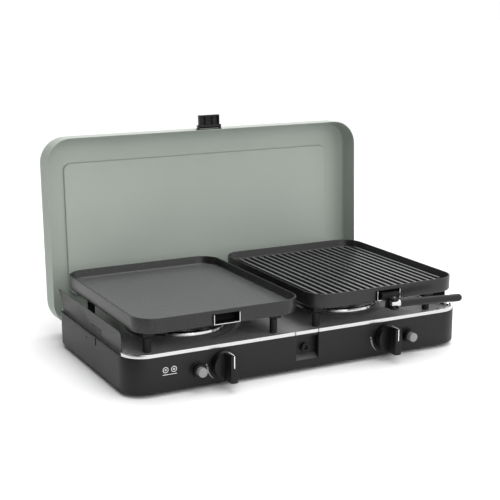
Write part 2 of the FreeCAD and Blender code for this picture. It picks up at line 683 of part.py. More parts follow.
def make_latch():
    """The latch on the lid's front wall: its mount, the turning clip and the pin."""
    wall = -dim.lid_depth / 2
    y = dim.latch_y
    z = dim.latch_height
    half = dim.latch_width / 2
    plate = block("mount_plate", (-half - 4, wall - 1.6, z - 4), (half + 4, wall, z + 5.5))
    ears = []
    for name, sign in SIDES:
        middle = sign * (half + 1.9)
        ears.append(block("mount_ear_" + name, (middle - 1.4, y - 3, z - 3), (middle + 1.4, wall,
                                                                             z + 3)))
    reach = half + 3.3
    ear_bore = rod("mount_bore", "X", (-reach, y, z), dim.latch_pin + dim.running_gap, 2 * reach)
    keep_on_lid("latch_mount", cut("mount_cut", join("mount_joined", plate, *ears), ear_bore))
    tip = y - dim.latch_reach + dim.latch_barrel
    barrel = rod("clip_barrel", "X", (-half, y, z), dim.latch_barrel, dim.latch_width)
    pieces = [barrel, block("clip_plate", (-half, tip, z + 0.5), (half, y, z + dim.latch_barrel))]
    for name, low, high in (("left", -half, 2 - half), ("right", half - 2, half),
                            ("rib_left", -8, -6.4), ("rib_right", 6.4, 8)):
        pieces.append(block("clip_" + name, (low, tip, z - 3), (high, y - 1, z + 1)))
    pieces.append(block("clip_end", (-half, tip, z - 3), (half, tip + 2, z + 1)))
    pieces.append(block("clip_bar", (-8, tip + 8, z - 3), (8, tip + 9.6, z + 1)))
    pin_bore = rod("clip_bore", "X", (-half, y, z), dim.latch_pin, dim.latch_width)
    keep_on_lid("latch_clip", cut("clip_cut", join("clip_joined", *pieces), pin_bore))
    pin = rod("latch_pin_rod", "X", (-reach, y, z), dim.latch_pin, 2 * reach)
    keep_on_lid("latch_pin", group("latch_pin_group", pin))


# ---------------------------------------------------------------- wind guards
def make_guard(side, sign):
    """A wind guard: a sheet on a long rolled knuckle, that folds inwards over its pin."""
    half = dim.guard_sheet / 2
    x = sign * dim.guard_x
    top = dim.guard_top
    foot = dim.guard_pivot
    body = new_body(f"guard_body_{side}")
    sheet_start = x - half
    pad(body, f"guard_sheet_{side}", "YZ_Plane", sheet_start, dim.guard_sheet, outline, [
        (dim.guard_front, foot + 1), (dim.guard_back, foot + 1), (dim.guard_back, foot + 6),
        (dim.guard_back + 10, top - 19),
        (dim.guard_ear, top - 0.5), (64, top), (64, top + 2), (58, top + 2), (58, top),
        (dim.guard_front + 9, top), (dim.guard_front + 3, top - 3),
        (dim.guard_front, top - 9)])
    length = dim.guard_back - dim.guard_front
    knuckle = rod(f"knuckle_{side}", "Y", (x, dim.guard_front, foot), dim.knuckle_radius, length)
    bore = rod(f"knuckle_bore_{side}", "Y", (x, dim.guard_front, foot),
               1.5 + dim.running_gap, length)
    slits = []
    for number in range(3):
        height = foot + 6 + 3.5 * number
        slits.append(block(f"slit_{number}_{side}", (x - 1, -45, height), (x + 1, 5,
                                                                         height + 1.2)))
    keep(f"guard_{side}", cut(f"guard_cut_{side}", join(f"guard_joined_{side}", body, knuckle),
                              bore, *slits))


def make_guard_base():
    """The brackets at both ends of each guard, and the pins that they hold."""
    brackets = []
    pins = []
    for side, sign in SIDES:
        x = sign * dim.guard_x
        for name, low in (("front", dim.guard_front - 4), ("rear", dim.guard_back + 1)):
            ear = block(f"guard_ear_{name}_{side}", (x - 2.6, low, dim.tray_floor),
                        (x + 2.6, low + 3, dim.guard_pivot + 3))
            bore = rod(f"guard_ear_bore_{name}_{side}", "Y", (x, low, dim.guard_pivot), 1.5, 3)
            brackets.append(cut(f"guard_ear_cut_{name}_{side}", ear, bore))
        pins.append(rod(f"guard_pin_{side}", "Y", (x, dim.guard_front - 4, dim.guard_pivot), 1.5,
                        dim.guard_back - dim.guard_front + 8))
    keep("guard_brackets", group("guard_bracket_group", *brackets))
    keep("guard_pins", group("guard_pin_group", *pins))


# ---------------------------------------------------------------- trivets and plates
def make_trivet(side, sign):
    """A pan support: four legs, four arms to a ring over the burner, and rubber boots."""
    x = sign * dim.burner_x
    y = dim.burner_y
    top = dim.trivet_top
    pieces = []
    boots = []
    reach = math.hypot(dim.trivet_x.value, dim.trivet_y.value)
    for across in (-1, 1):
        for along in (-1, 1):
            name = f"{side}_{len(boots)}"
            spot_x = x + across * dim.trivet_x
            spot_y = y + along * dim.trivet_y
            leg = rod("leg_" + name, "Z", (spot_x, spot_y, dim.tray_floor + 2), dim.trivet_rod,
                      top - dim.tray_floor - 2)
            half = dim.block_width / 2
            head = block("leg_head_" + name, (spot_x - half, spot_y - half, dim.sleeve_top + 2),
                         (spot_x + half, spot_y + half, top))
            arm = doc.addObject("Part::Box", "arm_" + name)
            bind(arm, "Length", reach - dim.hub_bore - 2)
            bind(arm, "Width", dim.arm_width)
            bind(arm, "Height", dim.arm_height)
            angle = math.atan2(along * dim.trivet_y.value, across * dim.trivet_x.value)
            turn = FreeCAD.Rotation(FreeCAD.Vector(0, 0, 1), math.degrees(angle))
            start = turn.multVec(FreeCAD.Vector(dim.hub_bore.value + 2,
                                                -dim.arm_width.value / 2, 0))
            place(arm, (x + start.x, y + start.y, top - dim.arm_height), turn)
            pieces += [leg, head, arm]
            boot = rod("boot_" + name, "Z", (spot_x, spot_y, dim.tray_floor), dim.sleeve_radius,
                       dim.sleeve_top - dim.tray_floor)
            well = rod("boot_well_" + name, "Z", (spot_x, spot_y, dim.tray_floor + 2),
                       dim.trivet_rod, dim.sleeve_top - dim.tray_floor)
            boots.append(cut("boot_cut_" + name, boot, well))
    hub = rod(f"hub_disc_{side}", "Z", (x, y, top - 6), dim.hub_radius, 6)
    hole = rod(f"hub_hole_{side}", "Z", (x, y, top - 20), dim.hub_bore, 24)
    keep(f"trivet_{side}", cut(f"trivet_cut_{side}", join(f"trivet_joined_{side}", hub, *pieces),
                               hole))
    keep(f"trivet_boots_{side}", group(f"boot_group_{side}", *boots))


def make_plate(label, sign, ribbed):
    """A cast plate with a low wall, an underside skirt, a handle socket and, if asked, ribs."""
    body = new_body(label + "_body")
    width = dim.plate_width
    depth = dim.plate_depth
    slab = pad(body, label + "_slab", "XY_Plane", dim.plate_low, dim.plate_high - dim.plate_low,
               rounded_rectangle, 0, 0, width, depth, dim.plate_corner)
    round_level(body, label + "_edge", slab, dim.plate_low, 2.5)
    wall = dim.plate_wall
    pocket(body, label + "_dish", "XY_Plane", dim.plate_high, dim.plate_high - dim.plate_floor,
           rounded_rectangle, 0, 0, width - 2 * wall, depth - 2 * wall, dim.plate_corner - wall)
    skirt = dim.plate_skirt
    pocket(body, label + "_under", "XY_Plane", dim.plate_low, dim.trivet_top - dim.plate_low,
           rounded_rectangle, 0, 0, width - 2 * skirt, depth - 2 * skirt,
           dim.plate_corner - skirt, along_normal=True)
    socket = sign * (dim.socket_x - dim.plate_x)
    half = dim.socket_width / 2
    plate_front = -depth / 2
    inner = plate_front + dim.socket_depth
    pad(body, label + "_boss", "XY_Plane", dim.plate_low, dim.socket_high - dim.plate_low + 2,
        rectangles, (socket - half - 3, plate_front + 1, socket + half + 3, inner + 3))
    if ribbed:
        ribs = pad(body, label + "_rib", "XZ_Plane", -dim.rib_length / 2, dim.rib_length, outline, [
            (-dim.rib_pitch * (dim.rib_count - 1) / 2 + shift, dim.plate_floor - 1 + rise)
            for shift, rise in ((-3.6, 0), (3.6, 0), (1.9, dim.rib_height + 1),
                                (-1.9, dim.rib_height + 1))])
        doc.recompute()
        pattern = body.newObject("PartDesign::LinearPattern", label + "_rib_row")
        pattern.Originals = [ribs]
        pattern.Direction = (ribs.Profile[0], ["H_Axis"])
        bind(pattern, "Length", dim.rib_pitch * (dim.rib_count - 1))
        pattern.Occurrences = int(dim.rib_count.value)
        body.Tip = pattern
    pocket(body, label + "_socket", "XZ_Plane", -plate_front, dim.socket_depth, rectangles,
           (socket - half, dim.socket_low, socket + half, dim.socket_high))
    keep(label, place(body, (sign * dim.plate_x, dim.plate_y, 0)))


def make_socket(label, sign):
    """The steel liner of a handle socket: two sides, a bottom and a back, standing proud."""
    half = dim.socket_width / 2
    x = sign * dim.socket_x
    rear = dim.plate_y - dim.plate_depth / 2 + dim.socket_depth
    thick = dim.socket_sheet
    outer = block(label + "_outer", (x - half, -dim.socket_front, dim.socket_low),
                  (x + half, rear, dim.socket_high))
    inner = block(label + "_inner", (x - half + thick, -dim.socket_front - 1,
                                     dim.socket_low + thick),
                  (x + half - thick, rear - thick, dim.socket_high + 1))
    keep(label, cut(label + "_cut", outer, inner))


def make_handle():
    """The handle in the grill plate's socket: tongue, pivot pin, steel ferrule and grip."""
    x = dim.socket_x
    y = dim.pivot_y
    z = dim.grip_height
    half = dim.tongue_width / 2
    tongue = block("tongue_blade", (x - half, y + 9, z + 5), (x + half, y + 28.5, z + 15.5))
    web = block("tongue_web", (x - 9, y + 9, z - 9.5), (x + 9, y + 13, z + 15.5))
    ears = []
    for name, low in (("lower", z - 9.5), ("upper", z + 6.5)):
        ears.append(block("ear_" + name, (x - 8, y, low), (x + 8, y + 12, low + 3)))
        ears.append(rod("ear_round_" + name, "Z", (x, y, low), 8, 3))
    pin_start = (x, y, z - 10.5)
    bore = rod("tongue_bore", "Z", pin_start, dim.handle_pin, 21)
    keep("handle_tongue", cut("tongue_cut", join("tongue_joined", tongue, web, *ears), bore))
    keep("handle_pin", rod("handle_pin_rod", "Z", pin_start, dim.handle_pin, 21))
    turn = FreeCAD.Rotation(FreeCAD.Vector(0, 0, 1), dim.grip_angle.value)
    turn = turn * AXIS_TURN["X"]
    along = turn.multVec(FreeCAD.Vector(0, 0, 1))

    def round_bar(name, start, end, radius):
        bar = doc.addObject("Part::Cylinder", name)
        bind(bar, "Radius", radius)
        bind(bar, "Height", as_size(end) - start)
        first = as_size(start)
        return place(bar, (x + first * along.x, y + first * along.y, z), turn)

    tube = round_bar("ferrule_tube", -6, dim.grip_start, dim.ferrule_radius)
    tube_bore = round_bar("ferrule_bore", -6, dim.grip_start, dim.ferrule_radius - 1.4)
    pin_hole = rod("ferrule_pin_hole", "Z", (x, y, z - 10), dim.handle_pin + dim.running_gap, 20)
    keep("handle_ferrule", cut("ferrule_cut", tube, tube_bore, pin_hole))
    radius = dim.grip_radius
    length = dim.grip_end - dim.grip_start
    grip = revolved("grip", [
        (0, 0), (radius - 0.8, 0), (radius, 0.8), (radius, length - 5), (radius - 1.2, length - 1.8),
        (radius - 3.4, length), (0, length)])
    start = dim.grip_start
    keep("handle_grip", place(grip, (x + start * along.x, y + start * along.y, z), turn))


# ---------------------------------------------------------------- build
def check_and_export():
    """Stop on any failed object or bad shape, then write one STEP file for each sub-part."""
    doc.recompute()
    for item in doc.Objects:
        if "Invalid" in item.State or "Error" in item.State:
            raise RuntimeError(f"{item.Name} failed: {item.State}")
    os.makedirs("parts", exist_ok=True)
    for label, item in sub_parts.items():
        shape = item.Shape
        if shape.isNull() or not shape.isValid() or not shape.Solids:
            raise RuntimeError(f"{label} has a bad shape")
        shape.exportStep(f"parts/{label}.step")
        print(f"{label}: {len(shape.Solids)} solids, {shape.Volume / 1000:.2f} cm3")
    print(f"{len(sub_parts)} sub-parts")


make_housing()
make_feet()
make_keeper()
make_tray()
make_tray_fixings()
leads = []
for side_name, side_sign in SIDES:
    make_burner(side_name, side_sign)
    make_valve(side_name, side_sign)
    leads.append(make_igniter(side_name, side_sign))
    make_knob(side_name, side_sign)
    make_guard(side_name, side_sign)
    make_trivet(side_name, side_sign)
keep("ignition_leads", group("lead_group", *leads))
make_gas_line()
make_lid()
make_lid_arms()
make_hinge_base()
make_latch()
make_guard_base()
make_plate("griddle_plate", -1, False)
make_plate("grill_plate", 1, True)
make_socket("griddle_socket", -1)
make_socket("grill_socket", 1)
make_handle()
check_and_export()
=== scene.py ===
# %% [markdown]
# A two-burner camping stove in a flat case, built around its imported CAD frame.
# The frame gives every size and place: each visible piece below is measured from the
# CAD node that it stands for, and rides on that node's body, so it moves with its joint.

# %% Load the frame
import json
import math

import bmesh
import bpy
from mathutils import Matrix, Vector


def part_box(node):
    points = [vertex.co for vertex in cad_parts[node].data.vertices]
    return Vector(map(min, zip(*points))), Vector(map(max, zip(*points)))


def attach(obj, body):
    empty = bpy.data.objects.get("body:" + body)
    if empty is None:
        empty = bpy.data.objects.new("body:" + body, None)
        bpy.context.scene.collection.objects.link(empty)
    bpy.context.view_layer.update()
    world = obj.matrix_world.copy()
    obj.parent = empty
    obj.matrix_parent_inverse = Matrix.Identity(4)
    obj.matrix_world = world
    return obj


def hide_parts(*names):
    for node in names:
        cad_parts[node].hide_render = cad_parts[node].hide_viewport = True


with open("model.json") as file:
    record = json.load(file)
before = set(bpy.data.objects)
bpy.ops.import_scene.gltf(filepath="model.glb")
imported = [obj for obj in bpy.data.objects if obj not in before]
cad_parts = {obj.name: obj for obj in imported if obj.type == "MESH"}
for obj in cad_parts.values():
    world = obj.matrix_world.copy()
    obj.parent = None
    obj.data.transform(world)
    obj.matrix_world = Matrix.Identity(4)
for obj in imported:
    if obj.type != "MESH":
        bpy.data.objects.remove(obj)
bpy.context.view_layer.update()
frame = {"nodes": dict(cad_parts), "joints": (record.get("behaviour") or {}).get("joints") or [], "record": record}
nodes = frame["nodes"]
body_of = {}
for body, members in frame["record"]["behaviour"]["bodies"].items():
    for member in members:
        body_of[member] = body
joints = {joint["name"]: joint for joint in frame["joints"]}
MM = 0.001
SIGNS = {"left": -1, "right": 1}

# %% [markdown]
# The stove stands on white paper under two large soft lamps. The camera is a short
# telephoto, a little above the hob and to its left, so that both plates show their floors.

# %% Stand, lamps and camera
scene = bpy.context.scene
scene.view_settings.view_transform = "Standard"


def aim(thing, place, target):
    """Put an object at a place, with its -Z axis towards a target."""
    thing.location = place
    direction = Vector(target) - Vector(place)
    thing.rotation_euler = direction.to_track_quat("-Z", "Y").to_euler()


def softbox(name, place, target, width, height, power):
    """Add a rectangular lamp that faces a target."""
    lamp = bpy.data.lights.new(name, "AREA")
    lamp.shape = "RECTANGLE"
    lamp.size = width
    lamp.size_y = height
    lamp.energy = power
    box = bpy.data.objects.new(name, lamp)
    scene.collection.objects.link(box)
    aim(box, place, target)


LOOK_AT = Vector((-0.0157, 0, 0.1688))
AZIMUTH = math.radians(-27.63)
ELEVATION = math.radians(12.97)
DISTANCE = 1.968
behind = Vector((math.sin(AZIMUTH) * math.cos(ELEVATION),
                 -math.cos(AZIMUTH) * math.cos(ELEVATION), math.sin(ELEVATION)))
camera = bpy.data.objects.new("camera", bpy.data.cameras.new("camera"))
camera.data.lens = 82.9
camera.data.sensor_width = 36
scene.collection.objects.link(camera)
aim(camera, LOOK_AT + behind * DISTANCE, LOOK_AT)
scene.camera = camera

softbox("lamp_top", (0.1, -0.1, 1.9), (0, 0.02, 0), 1.8, 1.3, 16)
softbox("lamp_front", (-0.5, -2.2, 1.3), (0, 0, 0.1), 1.6, 0.9, 10)

# %% [markdown]
# Shader nodes are easier to read as sums. A Wire is one output of a node tree: adding,
# multiplying or comparing Wires adds the Math node that does it. A Network is a node tree:
# its add method makes any other node from a type, settings and inputs. A Finish is the
# Network of one whole material.

# %% Shader helpers


class Wire:
    """One output socket, which can be used in sums."""

    def __init__(self, network, socket):
        self.network = network
        self.socket = socket

    def math(self, operation, first, second):
        return self.network.add("Math", {"operation": operation}, {0: first, 1: second})

    def __add__(self, other):
        return self.math("ADD", self, other)

    def __sub__(self, other):
        return self.math("SUBTRACT", self, other)

    def __rsub__(self, other):
        return self.math("SUBTRACT", other, self)

    def __mul__(self, other):
        return self.math("MULTIPLY", self, other)

    def __lt__(self, other):
        return self.math("LESS_THAN", self, other)

    def __gt__(self, other):
        return self.math("GREATER_THAN", self, other)

    __radd__ = __add__
    __rmul__ = __mul__


class Network:
    """A node tree that nodes can be added to in one line each."""

    def __init__(self, tree):
        self.tree = tree

    def join(self, socket, value):
        if isinstance(value, Wire):
            self.tree.links.new(value.socket, socket)
        else:
            socket.default_value = value

    def add(self, kind, settings, inputs, output=0):
        """Add a node: its settings first, then its inputs, and give back one output."""
        node = self.tree.nodes.new("ShaderNode" + kind)
        for name, value in settings.items():
            setattr(node, name, value)
        for name, value in inputs.items():
            self.join(node.inputs[name], value)
        return Wire(self, node.outputs[output])


class Finish(Network):
    """A material for one slot of the record, with its Principled shader."""

    def __init__(self, slot, colour, roughness, metallic=0.0, **fixed):
        self.slot = slot
        self.material = bpy.data.materials.new(slot)
        self.material.use_nodes = True
        super().__init__(self.material.node_tree)
        self.shader = self.tree.nodes["Principled BSDF"]
        self.colour = (*colour, 1)
        self.put("Base Color", self.colour)
        self.put("Roughness", roughness)
        self.put("Metallic", metallic)
        for name, value in fixed.items():
            self.put(name.replace("_", " "), value)
        self.place = self.add("TexCoord", {}, {}, "Object")

    def put(self, name, value):
        """Set or link one socket of the shader."""
        self.join(self.shader.inputs[name], value)

    def noise(self, scale, detail=2.0, stretch=(1, 1, 1)):
        """Soft noise on the piece's own coordinates, in cycles a metre."""
        where = self.add("Mapping", {}, {"Vector": self.place, "Scale": stretch})
        return self.add("TexNoise", {}, {"Vector": where, "Scale": scale, "Detail": detail})

    def tint(self, factor, first, second):
        """Mix two colours."""
        return self.add("Mix", {"data_type": "RGBA"}, {0: factor, 6: first, 7: second}, 2)

    def shade(self, factor, low, high):
        """Vary the base colour between a darker and a lighter tone of itself."""
        dark = tuple(part * low for part in self.colour[:3]) + (1,)
        light = tuple(part * high for part in self.colour[:3]) + (1,)
        mixed = self.tint(factor, dark, light)
        self.put("Base Color", mixed)
        return mixed

    def relief(self, height, distance, strength=1.0):
        """Raise the surface by a height that runs from 0 to 1."""
        bump = self.add("Bump", {}, {"Height": height, "Distance": distance,
                                     "Strength": strength}, "Normal")
        self.put("Normal", bump)


# %% [markdown]
# Black paint and steel show what is round them, so the room matters as much as the lamps.
# It is white, but its left wall is kept darker, which gives the faces that look that way
# their depth.

# %% Room
world = bpy.data.worlds.new("white_room")
world.use_nodes = True
scene.world = world
room = Network(world.node_tree)
toward = room.add("TexCoord", {}, {}, "Generated")
across = room.add("SeparateXYZ", {}, {0: toward}, "X")
bright = room.add("MapRange", {"clamp": True},
                  {"Value": across, "From Min": -0.65, "From Max": 0.1, "To Min": 0.03,
                   "To Max": 1.48})
background = world.node_tree.nodes["Background"]
background.inputs["Color"].default_value = (1, 1, 1, 1)
room.join(background.inputs["Strength"], bright)

# %% [markdown]
# Powder coat is sprayed as dust and baked, so it has a fine orange peel: bumps about a
# millimetre across and a few hundredths high, with a slightly uneven gloss. The same recipe,
# with another colour and another gloss, serves the case, the lid, the guards and the trivets.

# %% Coated metal


def powder_coat(slot, colour, roughness, peel=0.00003, size=900, shine=0.5):
    """Sprayed and baked paint with a fine orange peel."""
    finish = Finish(slot, colour, roughness, Specular_IOR_Level=shine)
    grain = finish.noise(size, 3)
    patches = finish.noise(9, 2)
    finish.shade(patches * 0.6 + grain * 0.4, 0.9, 1.1)
    finish.put("Roughness", patches * 0.08 + grain * 0.08 + (roughness - 0.08))
    finish.relief(grain, peel)
    return finish


case_black = powder_coat("case_black", (0.006, 0.006, 0.0064), 0.45, shine=0.3)
lid_green = powder_coat("lid_green", (0.355, 0.395, 0.355), 0.5, 0.00002, 1100)
guard_grey = powder_coat("guard_grey", (0.012, 0.012, 0.012), 0.42, shine=0.35)
trivet_black = powder_coat("trivet_black", (0.004, 0.004, 0.004), 0.4, shine=0.25)

# %% [markdown]
# The plates are cast aluminium with a non-stick coat, a dark grey with fine pale flecks.
# Cells of a Voronoi pattern give the flecks: only those whose random value is high are
# shown, and only near the cell's middle, so they are small dots and not a mosaic. Upward
# faces in a given band of heights can be painted lighter, as a painted highlight from the lamp above.

# %% Non-stick coat


def fleck_coat(slot, colour, roughness, band=(0, 0), highlight_gain=1.0):
    """Dark non-stick coating with pale flecks; upward faces in a band of heights get a painted highlight."""
    finish = Finish(slot, colour, roughness, Specular_IOR_Level=0.4)
    height = finish.add("SeparateXYZ", {}, {0: finish.place}, "Z")
    normal = finish.add("TexCoord", {}, {}, "Normal")
    upward = finish.add("SeparateXYZ", {}, {0: normal}, "Z")
    # painted highlight: upward faces in the height band are painted lighter, standing in for the lamp above
    # reflected in the coat
    painted_highlight = (height > band[0] * MM) * (height < band[1] * MM) * (upward > 0.8)
    cells = finish.add("TexVoronoi", {}, {"Vector": finish.place, "Scale": 650}, "Distance")
    chance = finish.add("TexVoronoi", {}, {"Vector": finish.place, "Scale": 650}, "Color")
    dots = (cells < 0.22) * (chance > 0.62)
    base = finish.shade(finish.noise(14, 3), 0.92, 1.08)
    # the painted highlight colour is the coat times highlight_gain, and the flecks are brightened with the same
    # gain
    highlight_colour = tuple(part * highlight_gain for part in colour) + (1,)
    base = finish.tint(painted_highlight * (finish.noise(5, 3) * 0.5 + 0.6), base, highlight_colour)
    fleck = tuple(min(1, part * 3.5 * max(1, highlight_gain / 2)) for part in colour) + (1,)
    finish.put("Base Color", finish.tint(dots * 0.55, base, fleck))
    skin = finish.noise(420, 3)
    finish.put("Roughness", skin * 0.16 + (roughness - 0.08))
    finish.relief(skin, 0.00006)
    return finish


plate_coating = fleck_coat("plate_coating", (0.013, 0.013, 0.0135), 0.34)
# painted highlight: the griddle's upward floor is painted eight times lighter, standing in for the overhead lamp
# reflected in it
griddle_coating = fleck_coat("plate_coating", (0.013, 0.013, 0.0135), 0.3, (111.9, 113), 8)
# painted highlight: the rib crowns are painted twelve times lighter, standing in for the lamp above
rib_coating = fleck_coat("plate_coating", (0.013, 0.013, 0.0135), 0.3, (116.5, 119), 12)
# painted shade: the socket's coat is near-black and duller than the plate coating, standing in for the shadow
# inside the channel
socket_painted_shade = Finish("plate_coating", (0.002, 0.002, 0.002), 0.6, Specular_IOR_Level=0.1)
socket_painted_shade.shade(socket_painted_shade.noise(60), 0.8, 1.2)

# %% [markdown]
# Stainless sheet is brushed, so its scratches run one way. Noise stretched to a hundred times
# its width does that: it changes the gloss and, very slightly, the height. Polished steel has
# no scratches to speak of, only a faint waviness.

# %% Bare metals


def brushed(slot, colour, roughness, spread=0.22, stretch=(6, 700, 700), metallic=1.0):
    """Metal brushed along X, with streaks in its gloss."""
    finish = Finish(slot, colour, roughness, metallic)
    streaks = finish.noise(1.0, 4, stretch)
    finish.shade(streaks, 0.82, 1.15)
    finish.put("Roughness", streaks * spread + (roughness - spread / 2))
    finish.relief(streaks, 0.00001)
    return finish


def polished(slot, colour, roughness, metallic=1.0, waves=0.00002):
    """Smooth metal or glaze with a faint waviness."""
    finish = Finish(slot, colour, roughness, metallic)
    marks = finish.noise(160, 3)
    finish.shade(marks, 0.94, 1.06)
    finish.put("Roughness", marks * 0.1 + (roughness - 0.05))
    finish.relief(marks, waves)
    return finish


steel = brushed("steel", (0.66, 0.66, 0.66), 0.38, metallic=0.55)
radial_steel = brushed("steel", (0.66, 0.66, 0.66), 0.36, 0.3, (260, 260, 3), 0.55)
bright_steel = polished("bright_steel", (0.62, 0.62, 0.62), 0.18)
zinc_steel = brushed("zinc_steel", (0.55, 0.56, 0.58), 0.4, 0.2, (300, 300, 300))
pipe_steel = brushed("pipe_steel", (0.42, 0.42, 0.45), 0.4)
burner_alloy = polished("burner_alloy", (0.5, 0.5, 0.5), 0.5, 1.0, 0.0002)
burner_enamel = polished("burner_enamel", (0.02, 0.02, 0.02), 0.4, 0.0, 0.0001)
brass = polished("brass", (0.72, 0.5, 0.2), 0.3)
ceramic = polished("ceramic", (0.75, 0.73, 0.68), 0.2, 0.0)

# %% [markdown]
# Moulded plastic has a spark-eroded skin, finer than paint, and rubber a duller one. The
# printed marks are thin ink: a flat colour with the grain of the paint below showing through.

# %% Plastics, rubber and ink


def moulded(slot, colour, roughness, grain=1400, depth=0.00004, shine=0.5):
    """Moulded plastic or rubber with a fine even grain."""
    finish = Finish(slot, colour, roughness, Specular_IOR_Level=shine)
    skin = finish.noise(grain, 2)
    finish.shade(finish.noise(30, 2), 0.9, 1.1)
    finish.put("Roughness", skin * 0.12 + (roughness - 0.06))
    finish.relief(skin, depth)
    return finish


black_plastic = moulded("black_plastic", (0.004, 0.004, 0.004), 0.38, shine=0.25)
grip_black = moulded("grip_black", (0.004, 0.004, 0.004), 0.3, 800, shine=0.35)
grey_plastic = moulded("grey_plastic", (0.25, 0.25, 0.255), 0.45)
rubber = moulded("rubber", (0.012, 0.012, 0.012), 0.65, 900, 0.00008)
lead_sleeve = moulded("lead_sleeve", (0.4, 0.03, 0.02), 0.5)
white_ink = moulded("white_ink", (0.85, 0.85, 0.85), 0.5)
grey_ink = moulded("grey_ink", (0.26, 0.26, 0.26), 0.5)
finishes = {finish.slot: finish for finish in (
    case_black, lid_green, guard_grey, trivet_black, plate_coating, steel, bright_steel,
    zinc_steel, pipe_steel, burner_alloy, burner_enamel, brass, ceramic, black_plastic,
    grip_black, grey_plastic, rubber, lead_sleeve)}
slot_of = {part["node"]: part["material_slot"] for part in frame["record"]["subparts"]}
print(len(finishes), "finishes")

# %% [markdown]
# The floor is white paper, not part of the object. It is large enough to fill the view.

# %% Floor
paper = Finish("paper", (1, 1, 1), 0.9)
paper.shade(paper.noise(3), 0.99, 1.0)
sheet_shape = bmesh.new()
bmesh.ops.create_grid(sheet_shape, x_segments=1, y_segments=1, size=80)
sheet_mesh = bpy.data.meshes.new("floor")
sheet_shape.to_mesh(sheet_mesh)
sheet_mesh.materials.append(paper.material)
floor = bpy.data.objects.new("floor", sheet_mesh)
scene.collection.objects.link(floor)

# %% [markdown]
# Most pieces here are sheet metal or castings whose outline is a rectangle with round corners.
# One helper draws such an outline: a flat square is stretched, and bevelling its four corner
# points rounds them. The face is then extruded from outline to outline, and its points are
# put on the next one, which makes walls, rolled rims and dished floors with clean quads.

# %% Modelling helpers
CORNER_STEPS = 10


def outline_face(shape, width, depth, corner, height, middle=(0, 0), steps=CORNER_STEPS):
    """Add one flat face with round corners, and give it back."""
    before = set(shape.faces)
    points = bmesh.ops.create_grid(shape, x_segments=1, y_segments=1, size=0.5)["verts"]
    bmesh.ops.scale(shape, vec=(width, depth, 1), verts=points)
    bmesh.ops.translate(shape, vec=(middle[0], middle[1], height), verts=points)
    bmesh.ops.bevel(shape, geom=points, offset=corner, offset_type="OFFSET", segments=steps,
                    profile=0.5, affect="VERTICES", material=-1)
    return [face for face in shape.faces if face not in before][0]


def outline_points(ring, middle, steps):
    """The points of an outline in order, worked out on a spare mesh."""
    spare = bmesh.new()
    face = outline_face(spare, *ring, middle, steps)
    places = [point.co.copy() for point in face.verts]
    spare.free()
    return places


def loft(shape, rings, middle=(0, 0), capped=True, steps=CORNER_STEPS):
    """Extrude through a stack of outlines, each (width, depth, corner, height)."""
    face = outline_face(shape, *rings[0], middle, steps)
    first = face
    for ring in rings[1:]:
        made = bmesh.ops.extrude_face_region(shape, geom=[face])
        if face is not first:
            bmesh.ops.delete(shape, geom=[face], context="FACES_ONLY")
        face = [item for item in made["geom"] if isinstance(item, bmesh.types.BMFace)][0]
        for point, place in zip(face.verts, outline_points(ring, middle, steps)):
            point.co = place
    if capped:
        bmesh.ops.inset_individual(shape, faces=[first, face], thickness=2 * MM)
    else:
        bmesh.ops.delete(shape, geom=[first, face], context="FACES_ONLY")


def quarter(count):
    """Sine and cosine at even steps through a quarter turn, for rounded edges."""
    turns = [math.pi / 2 * step / count for step in range(count + 1)]
    return [(math.sin(turn), math.cos(turn)) for turn in turns]


def turned(shape, profile, middle, steps=64):
    """Spin a profile of (radius, height) pairs once round the Z axis through a point."""
    before = set(shape.verts)
    points = [shape.verts.new((radius, 0, height)) for radius, height in profile]
    edges = [shape.edges.new(pair) for pair in zip(points, points[1:])]
    bmesh.ops.spin(shape, geom=points + edges, cent=(0, 0, 0), axis=(0, 0, 1),
                   angle=math.tau, steps=steps, use_merge=True)
    added = [point for point in shape.verts if point not in before]
    bmesh.ops.remove_doubles(shape, verts=added, dist=1e-7)
    added = [point for point in added if point.is_valid]
    bmesh.ops.translate(shape, vec=middle, verts=added)


def slab(shape, low, high, edge=0.0, steps=2):
    """Add a box between two corners, with its edges rounded."""
    low = Vector(low)
    high = Vector(high)
    points = bmesh.ops.create_cube(shape, size=1)["verts"]
    bmesh.ops.scale(shape, vec=high - low, verts=points)
    bmesh.ops.translate(shape, vec=(low + high) / 2, verts=points)
    if edge:
        edges = list({link for point in points for link in point.link_edges})
        made = bmesh.ops.bevel(shape, geom=edges, offset=edge, offset_type="OFFSET",
                               segments=steps, profile=0.5, affect="EDGES", material=-1)
        return made["verts"]
    return points


def smooth(mesh, sharp=32):
    """Shade a mesh smooth, apart from edges that bend by more than an angle."""
    mesh.polygons.foreach_set("use_smooth", [True] * len(mesh.polygons))
    mesh.set_sharp_from_angle(angle=math.radians(sharp))


def show(shape, name, finish, body, replaces=(), outward=True, sharp=32):
    """Turn a bmesh into a finished piece that rides on a body."""
    if outward:
        bmesh.ops.recalc_face_normals(shape, faces=shape.faces)
    mesh = bpy.data.meshes.new(name)
    shape.to_mesh(mesh)
    shape.free()
    smooth(mesh, sharp)
    mesh.materials.append(finish.material)
    piece = bpy.data.objects.new(name, mesh)
    scene.collection.objects.link(piece)
    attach(piece, body)
    finish.slot in finishes
    if replaces:
        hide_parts(*replaces)
    return piece


# %% [markdown]
# A CAD solid has knife edges, and a knife edge never catches light. Where the CAD shape is
# already right, a copy of it is merged, its flat facets are joined up again, and every sharp
# edge gets a small bevel.

# %% Soften a CAD node


